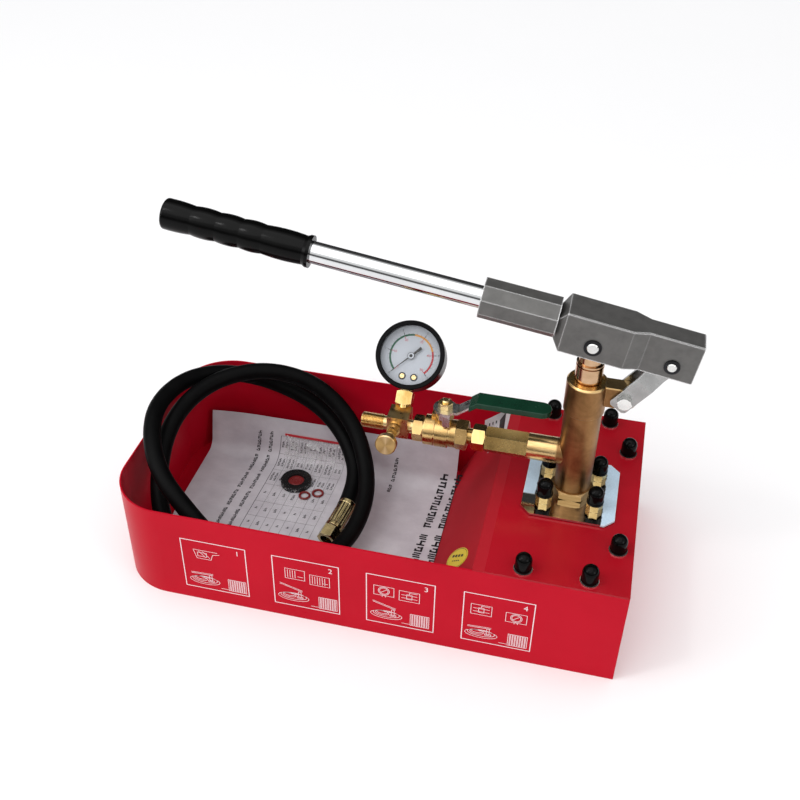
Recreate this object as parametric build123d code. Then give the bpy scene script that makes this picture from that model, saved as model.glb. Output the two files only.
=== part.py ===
from build123d import *
from math import asin, atan2, cos, degrees, hypot, pi, radians, sin, sqrt, tan
import os

os.makedirs("parts", exist_ok=True)

# Frame: origin at the centre of the tank's underside, +X towards the pump, +Z up, mm.

# Clearances shared by all pieces
cut_over = 1.0          # how far a cut runs past the face it opens
fit = 0.05              # radial clearance of a shaft, pin or thread in its hole
gap = 0.3               # clearance between neighbouring faces that don't bear
quarter = 90.0          # degrees
seat_gap = 0.02         # clearance between faces that bear on each other

# Tank
tank_length = 490.0
tank_width = 246.0
tank_height = 108.0
sheet = 1.5             # thickness of all red sheet
tank_corner_radius = 54.0
rim_flange = 22.0       # inward flange that carries the deck
rim_flange_length = 133.0

# Deck: a flat plate with a sloping front wall
deck_length = 137.0     # from the pump's end to the bend line of the slope
slope_run = 51.0        # bend line to the slope's foot
slope_foot_gap = 2.0    # water passes under the slope
slope_side_gap = 1.0
deck_bolt_insets_x = (94.0, 36.0)
deck_bolt_inset_y = 11.5
end_bolt_inset_x = 14.5
end_bolt_inset_y = 54.5

# Small fasteners of the deck
deck_thread_radius = 3.0
deck_head_flats = 10.0
deck_head_height = 4.0
deck_nut_flats = 10.0
deck_nut_height = 5.0
deck_thread_out = 9.0   # thread that stands above the washer
washer_thick = 1.2
washer_radius = 8.6
cap_radius = 7.5
cap_skirt_radius = 7.9
cap_skirt_height = 2.2
cap_height = 17.5

# Pump plates: a gasket, and a polished plate that the pump's foot is seated in
pump_inset = 64.0       # barrel's axis from the tank's end
plate_length = 87.0
plate_width = 86.0
plate_thick = 2.0
plate_chamfer = 9.0
gasket_thick = 1.0
gasket_inset = 1.5
plate_bolt_x = 23.5     # half the bolt spacing along the tank
plate_bolt_y = 22.0     # half the bolt spacing across the tank
plate_thread_radius = 4.0
plate_nut_flats = 13.0
plate_nut_height = 8.0
plate_thread_out = 16.0
plate_head_height = 5.3

# Barrel, with a hexagonal foot
foot_flats = 36.0
foot_height = 8.0
barrel_radius = 17.0
barrel_top_radius = 18.4
barrel_height = 129.5   # above the plate
barrel_collar_length = 32.0
barrel_lip = 1.2
bore_radius = 13.0
spigot_radius = 16.0
spigot_drop = 14.5      # below the deck's top
chamber_radius = 7.0    # suction ball chamber
chamber_height = 8.0
gland_radius = 15.4
gland_depth = 16.0
gland_ring_height = 7.0
gland_lip_height = 1.2

# Delivery line: all on one axis along X. Names that end in _s are distances along it, from a zero near
# the manifold's left end.
pipe_height = 44.0      # line's axis above the plate
boss_radius = 12.3
boss_length = 45.3      # from the barrel's axis
boss_end_s = 135.7
boss_thread_radius = 8.0
boss_thread_depth = 15.0
port_radius = 3.0
coupling_flats = 22.0
coupling_turn = 10.0        # degrees its top flat leans forward
coupling_start_s = 96.0
coupling_tail_radius = 7.5
coupling_chamber_radius = 6.6
coupling_chamber_end_s = 127.0
coupling_chamber_start_s = 104.5
line_bore_radius = 4.0
lock_nut_flats = 22.0
lock_nut_turn = 12.0        # degrees its top flat leans back
lock_nut_start_s = 83.5
lock_nut_end_s = 95.6
valve_end_s = 79.0
valve_split_s = 61.8
valve_start_s = 26.8
manifold_thread_radius = 6.4
manifold_tail_end_s = 36.0

# Ball valve
valve_hex_flats = 22.0
valve_hex_turn = 10.0       # degrees its top flat leans back
valve_end_hex_flats = 25.0
valve_hex_end_s = 36.4
valve_neck_radius = 10.6
valve_ring_radius = 14.5
valve_ring_start_s = 37.8
valve_ring_end_s = 47.2
valve_groove_radius = 12.8
valve_waist_start_s = 48.8
valve_waist_radius = 14.7
valve_split_groove = 1.3
valve_cap_ring_radius = 13.4
valve_cap_ring_end_s = 67.8
valve_spigot_radius = 9.6
valve_spigot_length = 1.8
stem_s = 56.0
valve_ball_radius = 7.0
valve_cavity_radius = 8.4
valve_seat_thick = 2.2
stem_radius = 3.5
valve_neck_height = 18.5    # above the line's axis
valve_neck_outer = 7.2
stop_lug_start_s = 43.4
stop_lug_end_s = 48.0
stop_lug_y = 0.8
stop_lug_width = 5.2
stop_lug_height = 19.0      # above the line's axis
packing_nut_flats = 15.0
packing_nut_height = 6.5
handle_plate_lift = 2.5     # handle's underside above the packing nut
handle_plate_thick = 2.5
handle_eye_radius = 11.2
handle_neck_width = 14.5
handle_rise_start_s = 68.0
handle_rise_end_s = 86.0
handle_rise = 14.5
handle_tip_s = 151.0
sleeve_start_s = 79.0
sleeve_wall = 1.8
sleeve_width = 18.0
sleeve_tip_s = 153.5
handle_nut_flats = 12.0
handle_nut_height = 6.0
stem_proud = 2.4            # stem above the handle's nut
stop_tab_shift = 3.0
stop_tab_width = 6.5
stop_tab_drop = 12.0
stop_tab_y = 10.5

# Manifold: square block that carries the gauge, the bleed screw and the outlet
manifold_start_s = 2.4
manifold_end_s = 22.5
manifold_flats = 23.0
manifold_up = 3.5       # block's centre above the line's axis
manifold_back = 1.5     # and behind it
manifold_edge_radius = 18.5     # back edge turned down under the gauge's socket
outlet_start_s = -24.0
outlet_radius = 6.6
outlet_bore_radius = 3.5
gauge_s = 13.6
bleed_s = 9.8
gauge_lean = 43.0       # degrees back from upright
bleed_turn = 77.0       # degrees forward from upright

# Gauge, measured along its leaning stem
gauge_reach = 66.0      # pipe axis to gauge centre
gauge_radius = 32.2
gauge_back = 14.0       # behind the gauge centre
gauge_front = 14.0      # in front of the gauge centre
gauge_wall = 2.6
bezel_radius = 33.2
bezel_lip_radius = 28.6
bezel_skirt = 8.0
bezel_thick = 1.8
dial_z = 3.5            # dial's back, in front of the gauge centre
dial_thick = 0.8
lens_thick = 2.0
needle_z = 6.2
needle_thick = 0.6
needle_length = 25.0
needle_tail = 12.5
needle_width = 1.5
needle_tail_width = 3.0
needle_hub_radius = 3.4
needle_zero = 225.0     # degrees left turn from the dial's right to the zero mark
needle_shaft_radius = 1.0
movement_length = 16.0
movement_width = 13.0
movement_thick = 5.0
movement_back = -3.0
bourdon_radius = 20.5
bourdon_tube_radius = 2.2
bourdon_sweep = 250.0
bourdon_z = -7.5
gauge_thread_radius = 5.0
gauge_square_flats = 15.0
gauge_square_start = 19.0
gauge_neck_radius = 5.6
gauge_block = 11.0
dial_screw_x = 5.7
dial_screw_drop = 19.9      # below the dial's centre
dial_screw_radius = 2.2
dial_screw_thick = 1.0

# Bleed screw, measured from the pipe axis
bleed_tip = 6.0
bleed_stem_radius = 4.4
bleed_collar_start = 12.1
bleed_collar_end = 14.3
bleed_collar_radius = 6.2
bleed_knob_start = 39.0
bleed_knob_end = 46.5
bleed_knob_radius = 9.9
bleed_vent_radius = 1.8
bleed_vent_at = 17.5

# Linkage pivots, in the X-Z plane of the barrel's axis
pin_height = 44.9       # lever's pin in the piston, above the barrel's top
link_low_out = 34.0     # link's pin in the barrel's lug, from the barrel's axis
link_low_drop = 11.0    # below the barrel's top
link_high_out = 66.9    # link's pin in the lever, from the barrel's axis
link_high_drop = 11.4   # below the lever's pin in the piston
lever_rise = 8.2        # degrees, the grip end stands higher

# Piston
piston_radius = 12.25
piston_neck_radius = 10.5
piston_drop = 16.5      # below the delivery line's axis
piston_step_drop = 25.0     # pin down to the step
piston_groove = 1.5
piston_pin_radius = 5.0

# Lug and link
lug_half = 7.5
lug_radius = 10.5
link_pin_radius = 4.0
link_plate_thick = 2.2
link_low_inner = 7.8
link_high_inner = 4.8
link_width = 18.0
link_low_end = 11.0     # plate past the lower pin
link_corner = 4.0
link_eye_radius = 11.0
link_eye_hole = 8.0     # wide, because the linkage is opened at this pin
link_jog_start = 24.0
link_jog_end = 36.0
link_bolt_head_radius = 6.8
link_bolt_head = 4.6

# Lever head, in the lever's own axes: u along it from the piston pin, v square to it
head_half = 17.0
head_nose_half = 11.5
head_nose_start = 28.5
head_nose_full = 42.0
head_left_u = -35.0
head_shoulder_u = -27.5
head_right_u = 88.5
head_top_left_v = 26.5
head_top_right_v = 23.8
head_bottom_left_v = -12.3
head_bottom_right_v = -14.2
head_left_top_v = 14.0
head_left_bottom_v = -3.0
head_edge = 0.9
channel_half = 13.0
channel_nose_half = 9.3
channel_left_u = -15.5
channel_right_u = 84.5
channel_top_v = 20.0
channel_taper_u = 26.5
channel_taper_end_u = 38.5
socket_left_u = -101.0
socket_flats = 33.0
tube_v = 9.6            # lever tube's axis above the pins
tube_radius = 10.0
tube_wall = 1.8
tube_length = 332.0
tube_depth = 49.0       # in the socket
pin_proud = 2.4
clip_thick = 1.2
clip_radius = 6.8
clip_big_radius = 7.6

# Grip
grip_length = 135.0
grip_radius = 13.9
grip_crease_radius = 12.9
grip_crease_shares = (0.2, 0.37, 0.53, 0.68)
grip_round = 3.0        # round edge at the free end
grip_lip_radius = 14.4
grip_lip = 3.0
grip_wall_end = 4.0

# Suction side, under the deck
suction_thread_radius = 9.0
suction_thread_length = 9.2
suction_hex_flats = 26.0
suction_hex_height = 12.0
suction_tail_radius = 9.0
suction_tail_length = 7.0
suction_bore_radius = 3.5
suction_ball_radius = 5.5
suction_tube_radius = 6.0
suction_tube_wall = 1.5
suction_tube_bottom_z = 26.0    # above the ground
strainer_radius = 15.0
strainer_wall = 1.2
strainer_bottom_z = 6.0
strainer_top_z = 33.0
strainer_hole_radius = 1.6
strainer_hole_count = 10
strainer_rows = 3

# Delivery check valve
delivery_ball_radius = 5.0
delivery_ball_travel = 1.5
spring_radius = 4.6
spring_wall = 0.9

# Hose: outer size, bore, and fittings
hose_radius = 8.75
hose_bore_radius = 4.0
ferrule_radius = 9.6
ferrule_cover = 25.0    # ferrule over the hose
ferrule_past = 11.0     # ferrule past the hose's end
ferrule_tail_radius = 4.4
ferrule_head_radius = 5.8
ferrule_bore_radius = 2.5
swivel_flats = 19.0
swivel_length = 14.0
swivel_gap = 1.0
swivel_face = 2.4       # wall of the nut that the ferrule's head holds
swivel_head = 2.6       # length of the ferrule's head
radius_share = 0.45     # of the shorter run, at each corner
hose_route = (
    (-50.0, -6.0, 19.6),
    (-40.0, 42.5, 28.5),
    (-63.0, 87.0, 50.0),
    (-104.0, 112.0, 74.5),
    (-158.0, 112.5, 96.5),
    (-201.0, 93.0, 114.0),
    (-230.0, 57.0, 126.0),
    (-241.5, 11.0, 128.0),
    (-231.5, -34.0, 126.0),
    (-208.0, -73.0, 108.0),
    (-170.0, -94.0, 83.0),
    (-135.0, -107.0, 56.0),
    (-95.0, -101.5, 35.0),
    (-58.5, -77.0, 22.5),
    (-33.0, -39.0, 21.0),
    (-24.0, 6.0, 31.0),
    (-32.0, 50.0, 47.0),
    (-57.5, 88.5, 76.0),
    (-101.0, 105.0, 107.0),
    (-151.0, 98.0, 123.0),
    (-193.5, 73.5, 123.5),
    (-219.0, 38.0, 117.5),
    (-227.0, -7.0, 108.0),
    (-222.0, -49.0, 84.0),
    (-208.0, -82.0, 55.0),
    (-176.0, -103.0, 27.0),
    (-133.0, -110.5, 12.7),
    (-86.0, -110.5, 12.7),
)

# Loose things that lie in the tank
leaflet_thick = 0.4
leaflet_left_inset = 20.0
leaflet_slope_gap = 1.0
leaflet_front_inset = 51.2
leaflet_back_inset = 45.0   # the back of the sheet turns up here
leaflet_bend_radius = 20.0
leaflet_bend_turn = 75.0
leaflet_flap = 34.0
bag_inset = 84.0        # bag's left edge from the leaflet's
bag_length = 70.0
bag_width = 70.0
bag_thick = 0.3
bag_height = 6.0        # film's height over the spare seals
bag_flap = 17.0         # film on the upturned part of the sheet
strip_width = 2.4
strip_thick = 1.2
seal_inset_x = 25.0     # from the bag's left edge
seal_inset_y = 20.0     # from the bend of the sheet
seal_big_radius = 17.0
seal_big_hole = 9.0
seal_big_thick = 4.5
o_ring_radius = 6.6
o_ring_hole = 4.0
o_ring_thick = 2.6
o_ring_offsets = ((0.0, 0.0), (15.5, -19.0), (28.5, -12.0))     # from the black seal's centre

# Heights and places that follow from the sizes above
half_length = tank_length / 2
half_width = tank_width / 2
floor_z = sheet
flange_top_z = tank_height
deck_top_z = tank_height + sheet
gasket_top_z = deck_top_z + gasket_thick
plate_top_z = gasket_top_z + plate_thick
foot_top_z = plate_top_z + foot_height
spigot_bottom_z = deck_top_z - spigot_drop
bore_bottom_z = spigot_bottom_z + suction_thread_length + chamber_height
barrel_top_z = plate_top_z + barrel_height
barrel_step_z = barrel_top_z - barrel_collar_length
pipe_z = plate_top_z + pipe_height
valve_neck_top_z = pipe_z + valve_neck_height
packing_nut_top_z = valve_neck_top_z + packing_nut_height
handle_plate_z = packing_nut_top_z + handle_plate_lift
pin_z = barrel_top_z + pin_height

rim_flange_start_x = half_length - rim_flange_length
crease_x = half_length - deck_length
slope_foot_x = crease_x - slope_run
pump_x = half_length - pump_inset
line_reach = boss_end_s + boss_length   # from the line's zero to the barrel's axis
line_zero_x = pump_x - line_reach
link_low_x = pump_x + link_low_out
link_low_z = barrel_top_z - link_low_drop
link_high_x = pump_x + link_high_out
link_high_z = pin_z - link_high_drop
tube_right_u = socket_left_u + tube_depth
tube_left_u = tube_right_u - tube_length

leaflet_left_x = leaflet_left_inset - half_length
leaflet_right_x = slope_foot_x - leaflet_slope_gap
leaflet_front_y = leaflet_front_inset - half_width
leaflet_bend_y = half_width - leaflet_back_inset
bag_left_x = leaflet_left_x + bag_inset
bag_right_x = bag_left_x + bag_length
bag_front_y = leaflet_bend_y - bag_width
seal_x = bag_left_x + seal_inset_x
seal_y = leaflet_bend_y - seal_inset_y


def write(name, shape):
    export_step(shape, f"parts/{name}.step")


def rod(radius, start, end):
    """A cylinder along Z from start to end."""
    return Pos(0, 0, start) * Cylinder(radius, end - start, align=(Align.CENTER, Align.CENTER, Align.MIN))


def ring(outer, inner, start, end):
    return rod(outer, start, end) - rod(inner, start - cut_over, end + cut_over)


def cone(low_radius, high_radius, start, end):
    return Pos(0, 0, start) * Cone(low_radius, high_radius, end - start,
                                   align=(Align.CENTER, Align.CENTER, Align.MIN))


def block(x0, x1, y0, y1, z0, z1):
    return Pos((x0 + x1) / 2, (y0 + y1) / 2, (z0 + z1) / 2) * Box(x1 - x0, y1 - y0, z1 - z0)


def prism(sides, flats, start, end, turn=0.0):
    """A regular bar along Z with the given width across its flats, a flat facing +Y at turn 0."""
    corner = flats / 2 / cos(pi / sides)
    first = pi / 2 - pi / sides + radians(turn)
    points = [(corner * cos(first + 2 * pi * k / sides), corner * sin(first + 2 * pi * k / sides))
              for k in range(sides)]
    return Pos(0, 0, start) * extrude(face_of(Polyline(*points, close=True)), end - start)


def chamfered_bar(sides, flats, start, end, turn=0.0):
    """A hexagon or square bar whose corners are turned away at both ends."""
    corner = flats / 2 / cos(pi / sides)
    slope = (corner - flats / 2) / 2
    envelope = cone(flats / 2, corner, start, start + slope) + rod(corner, start + slope, end - slope)
    envelope += cone(corner, flats / 2, end - slope, end)
    return prism(sides, flats, start, end, turn) & envelope


def along_pipe(shape):
    """Turns a shape drawn along Z onto the delivery line, where its Z becomes X."""
    return Pos(line_zero_x, 0, pipe_z) * Rot(0, quarter, 0) * shape


def on_line(shape):
    """Moves a shape drawn in distances along the line and true heights to its place."""
    return Pos(line_zero_x, 0, 0) * shape


def at_stem(shape):
    """Moves a shape drawn about Z and in true heights to the valve's stem."""
    return Pos(line_zero_x + stem_s, 0, 0) * shape


def on_lever(shape):
    """Places a shape drawn in the lever's u, y, v axes."""
    return Pos(pump_x, 0, pin_z) * Rot(0, lever_rise, 0) * shape


link_angle = degrees(atan2(link_high_z - link_low_z, link_high_x - link_low_x))
link_length = hypot(link_high_x - link_low_x, link_high_z - link_low_z)


def on_link(shape):
    """Places a shape drawn with the link's length along X and its lower pin at the origin."""
    return Pos(link_low_x, 0, link_low_z) * Rot(0, -link_angle, 0) * shape


def cross_pin(radius, half):
    """A pin along Y, centred on the origin."""
    return Rot(quarter, 0, 0) * rod(radius, -half, half)


def gauge_branch(shape):
    """Places a shape drawn along Z on the manifold, leaning back as the gauge does."""
    return Pos(line_zero_x + gauge_s, 0, pipe_z) * Rot(-gauge_lean, 0, 0) * shape


def bleed_branch(shape):
    """Places a shape drawn along Z on the manifold, leaning forward as the bleed screw does."""
    return Pos(line_zero_x + bleed_s, 0, pipe_z) * Rot(bleed_turn, 0, 0) * shape


def on_gauge(shape):
    """Places a shape that looks along its own Z on the gauge's front."""
    return gauge_branch(Pos(0, 0, gauge_reach) * Rot(quarter, 0, 0) * shape)


deck_bolt_places = [(half_length - inset, side * (half_width - deck_bolt_inset_y))
                    for inset in deck_bolt_insets_x for side in (-1, 1)]
deck_bolt_places += [(half_length - end_bolt_inset_x, side * (half_width - end_bolt_inset_y))
                     for side in (-1, 1)]
plate_bolt_places = [(pump_x + i * plate_bolt_x, j * plate_bolt_y) for i in (-1, 1) for j in (-1, 1)]


def at_places(places, z, shape):
    return Compound([Pos(x, y, z) * shape for x, y in places])


def holes(places, radius, z0, z1):
    return [Pos(x, y, 0) * rod(radius, z0, z1) for x, y in places]


def face_of(*edges):
    """A face from one closed line or from a chain of edges."""
    return Face(Wire([e for item in edges for e in item.edges()]))


# Tank
def tank_outline(inset):
    """The tank's plan: square at the pump's end, round corners at the other."""
    x0 = -half_length + inset
    x1 = half_length - inset
    y1 = half_width - inset
    r = tank_corner_radius - inset
    s = r * (1 - cos(pi / 4))
    return face_of(
        Line((x1, -y1), (x1, y1)),
        Line((x1, y1), (x0 + r, y1)),
        ThreePointArc((x0 + r, y1), (x0 + s, y1 - s), (x0, y1 - r)),
        Line((x0, y1 - r), (x0, -y1 + r)),
        ThreePointArc((x0, -y1 + r), (x0 + s, -y1 + s), (x0 + r, -y1)),
        Line((x0 + r, -y1), (x1, -y1)),
    )


def make_tank():
    shell = extrude(tank_outline(0), tank_height)
    shell -= Pos(0, 0, floor_z) * extrude(tank_outline(sheet), tank_height)
    flange = block(rim_flange_start_x, half_length - sheet, -half_width + sheet, half_width - sheet,
                   flange_top_z - sheet, flange_top_z)
    flange -= block(rim_flange_start_x - cut_over, half_length - rim_flange, -half_width + rim_flange,
                    half_width - rim_flange, flange_top_z - sheet - cut_over, flange_top_z + cut_over)
    tank = shell + flange
    for hole in holes(deck_bolt_places, deck_thread_radius + gap, flange_top_z - sheet - cut_over,
                      flange_top_z + cut_over):
        tank -= hole
    return tank


def make_deck():
    y1 = half_width - sheet - slope_side_gap
    drop_z = floor_z + slope_foot_gap
    run = crease_x - slope_foot_x
    fall = deck_top_z - drop_z
    lean = hypot(run, fall)
    thick_x = sheet * lean / fall
    low_x = slope_foot_x
    slope_points = ((crease_x, deck_top_z), (low_x, drop_z), (low_x + thick_x, drop_z),
                    (crease_x + thick_x, deck_top_z))
    slope_wall = extrude(face_of(Polyline(*slope_points, close=True)), 2 * y1)
    slope_wall = Pos(0, y1, 0) * Rot(quarter, 0, 0) * slope_wall
    flat = block(crease_x, half_length, -half_width, half_width, flange_top_z + seat_gap, deck_top_z)
    deck = flat + slope_wall
    for hole in holes(deck_bolt_places, deck_thread_radius + gap, flange_top_z - cut_over,
                      deck_top_z + cut_over):
        deck -= hole
    for hole in holes(plate_bolt_places, plate_thread_radius + gap, flange_top_z - cut_over,
                      deck_top_z + cut_over):
        deck -= hole
    return deck - Pos(pump_x, 0, 0) * rod(spigot_radius + gap, flange_top_z - cut_over, deck_top_z + cut_over)


# Fasteners
def make_cap(thread_radius):
    """A domed cap with a skirt, hollow over the nut or the thread's end."""
    hollow = thread_radius + fit
    body = rod(cap_radius, 0, cap_height - cap_radius)
    body += Pos(0, 0, cap_height - cap_radius) * Sphere(cap_radius)
    body += rod(cap_skirt_radius, 0, cap_skirt_height)
    return body, hollow


def make_deck_cap():
    body, hollow = make_cap(deck_thread_radius)
    body -= prism(6, deck_nut_flats + 2 * fit, -cut_over, deck_nut_height + gap)
    return body - rod(hollow, 0, deck_thread_out - washer_thick + gap)


def make_plate_cap():
    body, hollow = make_cap(plate_thread_radius)
    return body - rod(hollow, -cut_over, plate_thread_out - plate_nut_height + gap)


def make_bolt(head_flats, head_height, radius, grip_length, thread_out):
    """A bolt that stands up: its head hangs below z = 0 and its thread ends above the stack."""
    return chamfered_bar(6, head_flats, -head_height, 0) + rod(radius, 0, grip_length + thread_out)


def make_nut(flats, height, hole):
    return chamfered_bar(6, flats, 0, height) - rod(hole, -cut_over, height + cut_over)


# Pump plates
def plate_outline(grow):
    x = plate_length / 2 + grow
    y = plate_width / 2 + grow
    c = plate_chamfer
    points = ((x, y - c), (x - c, y), (c - x, y), (-x, y - c),
              (-x, c - y), (c - x, -y), (x - c, -y), (x, c - y))
    return face_of(Polyline(*points, close=True))


def make_plate(z0, thick, grow):
    plate = Pos(pump_x, 0, z0) * extrude(plate_outline(grow), thick)
    for hole in holes(plate_bolt_places, plate_thread_radius + gap, z0 - cut_over, z0 + thick + cut_over):
        plate -= hole
    return plate - Pos(pump_x, 0, 0) * rod(spigot_radius + fit, z0 - cut_over, z0 + thick + cut_over)


# Pump body: one casting with its foot, barrel, side boss and lug
def make_pump_body():
    base = chamfered_bar(6, foot_flats, plate_top_z + seat_gap, foot_top_z)
    base += rod(spigot_radius, spigot_bottom_z, foot_top_z)
    step = barrel_top_radius - barrel_radius
    base += rod(barrel_radius, foot_top_z, barrel_step_z)
    base += cone(barrel_radius, barrel_top_radius, barrel_step_z - step, barrel_step_z)
    base += rod(barrel_top_radius, barrel_step_z, barrel_top_z - barrel_lip)
    base += cone(barrel_top_radius, barrel_top_radius - barrel_lip, barrel_top_z - barrel_lip, barrel_top_z)
    body = Pos(pump_x, 0, 0) * base
    body += along_pipe(rod(boss_radius, boss_end_s, line_reach))
    lug = block(pump_x, link_low_x, -lug_half, lug_half, link_low_z - lug_radius, link_low_z + lug_radius)
    lug += Pos(link_low_x, 0, link_low_z) * cross_pin(lug_radius, lug_half)
    body += lug
    bore_top = barrel_top_z - gland_depth
    body -= Pos(pump_x, 0, 0) * rod(bore_radius, bore_bottom_z, bore_top + cut_over)
    body -= Pos(pump_x, 0, 0) * rod(gland_radius, bore_top, barrel_top_z + cut_over)
    body -= Pos(pump_x, 0, 0) * rod(chamber_radius, spigot_bottom_z, bore_bottom_z + cut_over)
    body -= Pos(pump_x, 0, 0) * rod(suction_thread_radius + fit, spigot_bottom_z - cut_over,
                                    spigot_bottom_z + suction_thread_length)
    body -= along_pipe(rod(boss_thread_radius + fit, boss_end_s - cut_over, boss_end_s + boss_thread_depth))
    body -= along_pipe(rod(port_radius, boss_end_s, line_reach))
    return body - Pos(link_low_x, 0, link_low_z) * cross_pin(link_pin_radius + fit, lug_half + cut_over)


def make_gland_seal():
    low = barrel_top_z - gland_depth + seat_gap
    high = barrel_top_z - gland_lip_height - gland_ring_height - seat_gap
    return Pos(pump_x, 0, 0) * ring(gland_radius - fit, piston_radius + fit, low, high)


def make_gland_ring():
    high = barrel_top_z - gland_lip_height
    return Pos(pump_x, 0, 0) * ring(gland_radius - fit, piston_radius + fit, high - gland_ring_height, high)


def make_piston():
    step_z = pin_z - piston_step_drop
    body = rod(piston_radius, pipe_z - piston_drop, step_z)
    body += rod(piston_neck_radius, step_z, pin_z)
    body += Pos(0, 0, pin_z) * Sphere(piston_neck_radius)
    body -= ring(piston_radius + cut_over, piston_neck_radius, step_z - 2 * piston_groove,
                 step_z - piston_groove)
    body -= Pos(0, 0, pin_z) * cross_pin(piston_pin_radius + fit, piston_radius + cut_over)
    return Pos(pump_x, 0, 0) * body


# Lever
def head_side():
    """The lever head's outline seen from the front, in u and v."""
    points = ((head_shoulder_u, head_top_left_v), (head_left_u, head_left_top_v),
              (head_left_u, head_left_bottom_v), (head_shoulder_u, head_bottom_left_v),
              (head_right_u - head_edge, head_bottom_right_v),
              (head_right_u, head_bottom_right_v + head_edge), (head_right_u, head_top_right_v - head_edge),
              (head_right_u - head_edge, head_top_right_v))
    return face_of(Polyline(*points, close=True))


def head_plan():
    """The lever head's outline seen from above, in u and y."""
    points = ((head_left_u, -head_nose_half), (head_shoulder_u, -head_half), (head_nose_start, -head_half),
              (head_nose_full, -head_nose_half), (head_right_u, -head_nose_half),
              (head_right_u, head_nose_half), (head_nose_full, head_nose_half),
              (head_nose_start, head_half), (head_shoulder_u, head_half),
              (head_left_u, head_nose_half))
    return face_of(Polyline(*points, close=True))


def channel_plan():
    points = ((channel_left_u, -channel_half), (channel_taper_u, -channel_half),
              (channel_taper_end_u, -channel_nose_half), (channel_right_u, -channel_nose_half),
              (channel_right_u, channel_nose_half), (channel_taper_end_u, channel_nose_half),
              (channel_taper_u, channel_half), (channel_left_u, channel_half))
    return face_of(Polyline(*points, close=True))


def lever_point(x, z):
    """A point of the X-Z plane in the lever's u and v."""
    dx = x - pump_x
    dz = z - pin_z
    a = radians(lever_rise)
    return dx * cos(a) - dz * sin(a), dx * sin(a) + dz * cos(a)


high_u, high_v = lever_point(link_high_x, link_high_z)


def make_lever_head():
    side = Pos(0, head_half, 0) * Rot(quarter, 0, 0) * extrude(head_side(), 2 * head_half)
    deep = 2 * head_half
    plan = Pos(0, 0, -deep) * extrude(head_plan(), 2 * deep)
    head = side & plan
    top_v = (head_top_left_v + head_top_right_v) / 2
    rims = [e for e in head.edges().filter_by(GeomType.LINE)
            if e.length > head_edge * 10 and abs((e @ 0.5).Z - top_v) < head_edge * 2
            and abs((e @ 0.5).Y) > head_nose_half - cut_over]
    head = chamfer(rims, head_edge)
    socket = prism(8, socket_flats, socket_left_u, channel_left_u - head_edge)
    socket = Pos(0, 0, tube_v) * Rot(0, quarter, 0) * socket
    socket &= block(socket_left_u, head_left_u + head_edge, -head_half, head_half, -deep, deep)
    head += socket
    channel = Pos(0, 0, -deep) * extrude(channel_plan(), deep + channel_top_v)
    head -= channel
    tube_hole = rod(tube_radius + fit, socket_left_u - cut_over, tube_right_u)
    head -= Pos(0, 0, tube_v) * Rot(0, quarter, 0) * tube_hole
    head -= cross_pin(piston_pin_radius + fit, head_half + cut_over)
    head -= Pos(high_u, 0, high_v) * cross_pin(link_pin_radius + fit, head_half + cut_over)
    return on_lever(head)


def make_lever_tube():
    tube = ring(tube_radius, tube_radius - tube_wall, tube_left_u, tube_right_u - seat_gap)
    return on_lever(Pos(0, 0, tube_v) * Rot(0, quarter, 0) * tube)


def make_lever_grip():
    """A turned sleeve: round free end, bulges that meet in sharp creases, and a lip."""
    r_hole = tube_radius + fit
    u0 = tube_left_u - grip_wall_end - seat_gap
    u1 = u0 + grip_length
    creases = [(grip_crease_radius, u0 + share * grip_length) for share in grip_crease_shares]
    round_mid = grip_round * (1 - cos(pi / 4))
    edges = [Line((0, u0), (grip_radius - grip_round, u0)),
             ThreePointArc((grip_radius - grip_round, u0), (grip_radius - round_mid, u0 + round_mid),
                           (grip_radius, u0 + grip_round))]
    stops = [(grip_radius, u0 + grip_round)] + creases + [(grip_crease_radius, u1 - 2 * grip_lip)]
    for low, high in zip(stops[:-1], stops[1:]):
        edges.append(ThreePointArc(low, (grip_radius, (low[1] + high[1]) / 2), high))
    edges += [Line(stops[-1], (grip_lip_radius, u1 - grip_lip)),
              Line((grip_lip_radius, u1 - grip_lip), (grip_lip_radius, u1)),
              Line((grip_lip_radius, u1), (r_hole, u1)),
              Line((r_hole, u1), (r_hole, u0 + grip_wall_end)),
              Line((r_hole, u0 + grip_wall_end), (0, u0 + grip_wall_end)),
              Line((0, u0 + grip_wall_end), (0, u0))]
    profile = Rot(quarter, 0, 0) * face_of(*edges)
    grip = revolve(profile, Axis.Z)
    return on_lever(Pos(0, 0, tube_v) * Rot(0, quarter, 0) * grip)


def make_pin(radius, half):
    edge = radius / 8
    pin = rod(radius, edge - half, half - edge) + cone(radius - edge, radius, -half, edge - half)
    pin += cone(radius, radius - edge, half - edge, half)
    return Rot(quarter, 0, 0) * pin


def make_clips():
    """Black spring clips on both ends of both lever pins."""
    clips = []
    for side in (-1, 1):
        face = head_half + seat_gap
        clips.append(Rot(quarter * side, 0, 0)
                     * ring(clip_big_radius, piston_pin_radius + fit, face, face + clip_thick))
        face = head_nose_half + seat_gap
        clips.append(Pos(high_u, 0, high_v) * Rot(quarter * side, 0, 0)
                     * ring(clip_radius, link_pin_radius + fit, face, face + clip_thick))
    return on_lever(Compound(clips))


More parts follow.
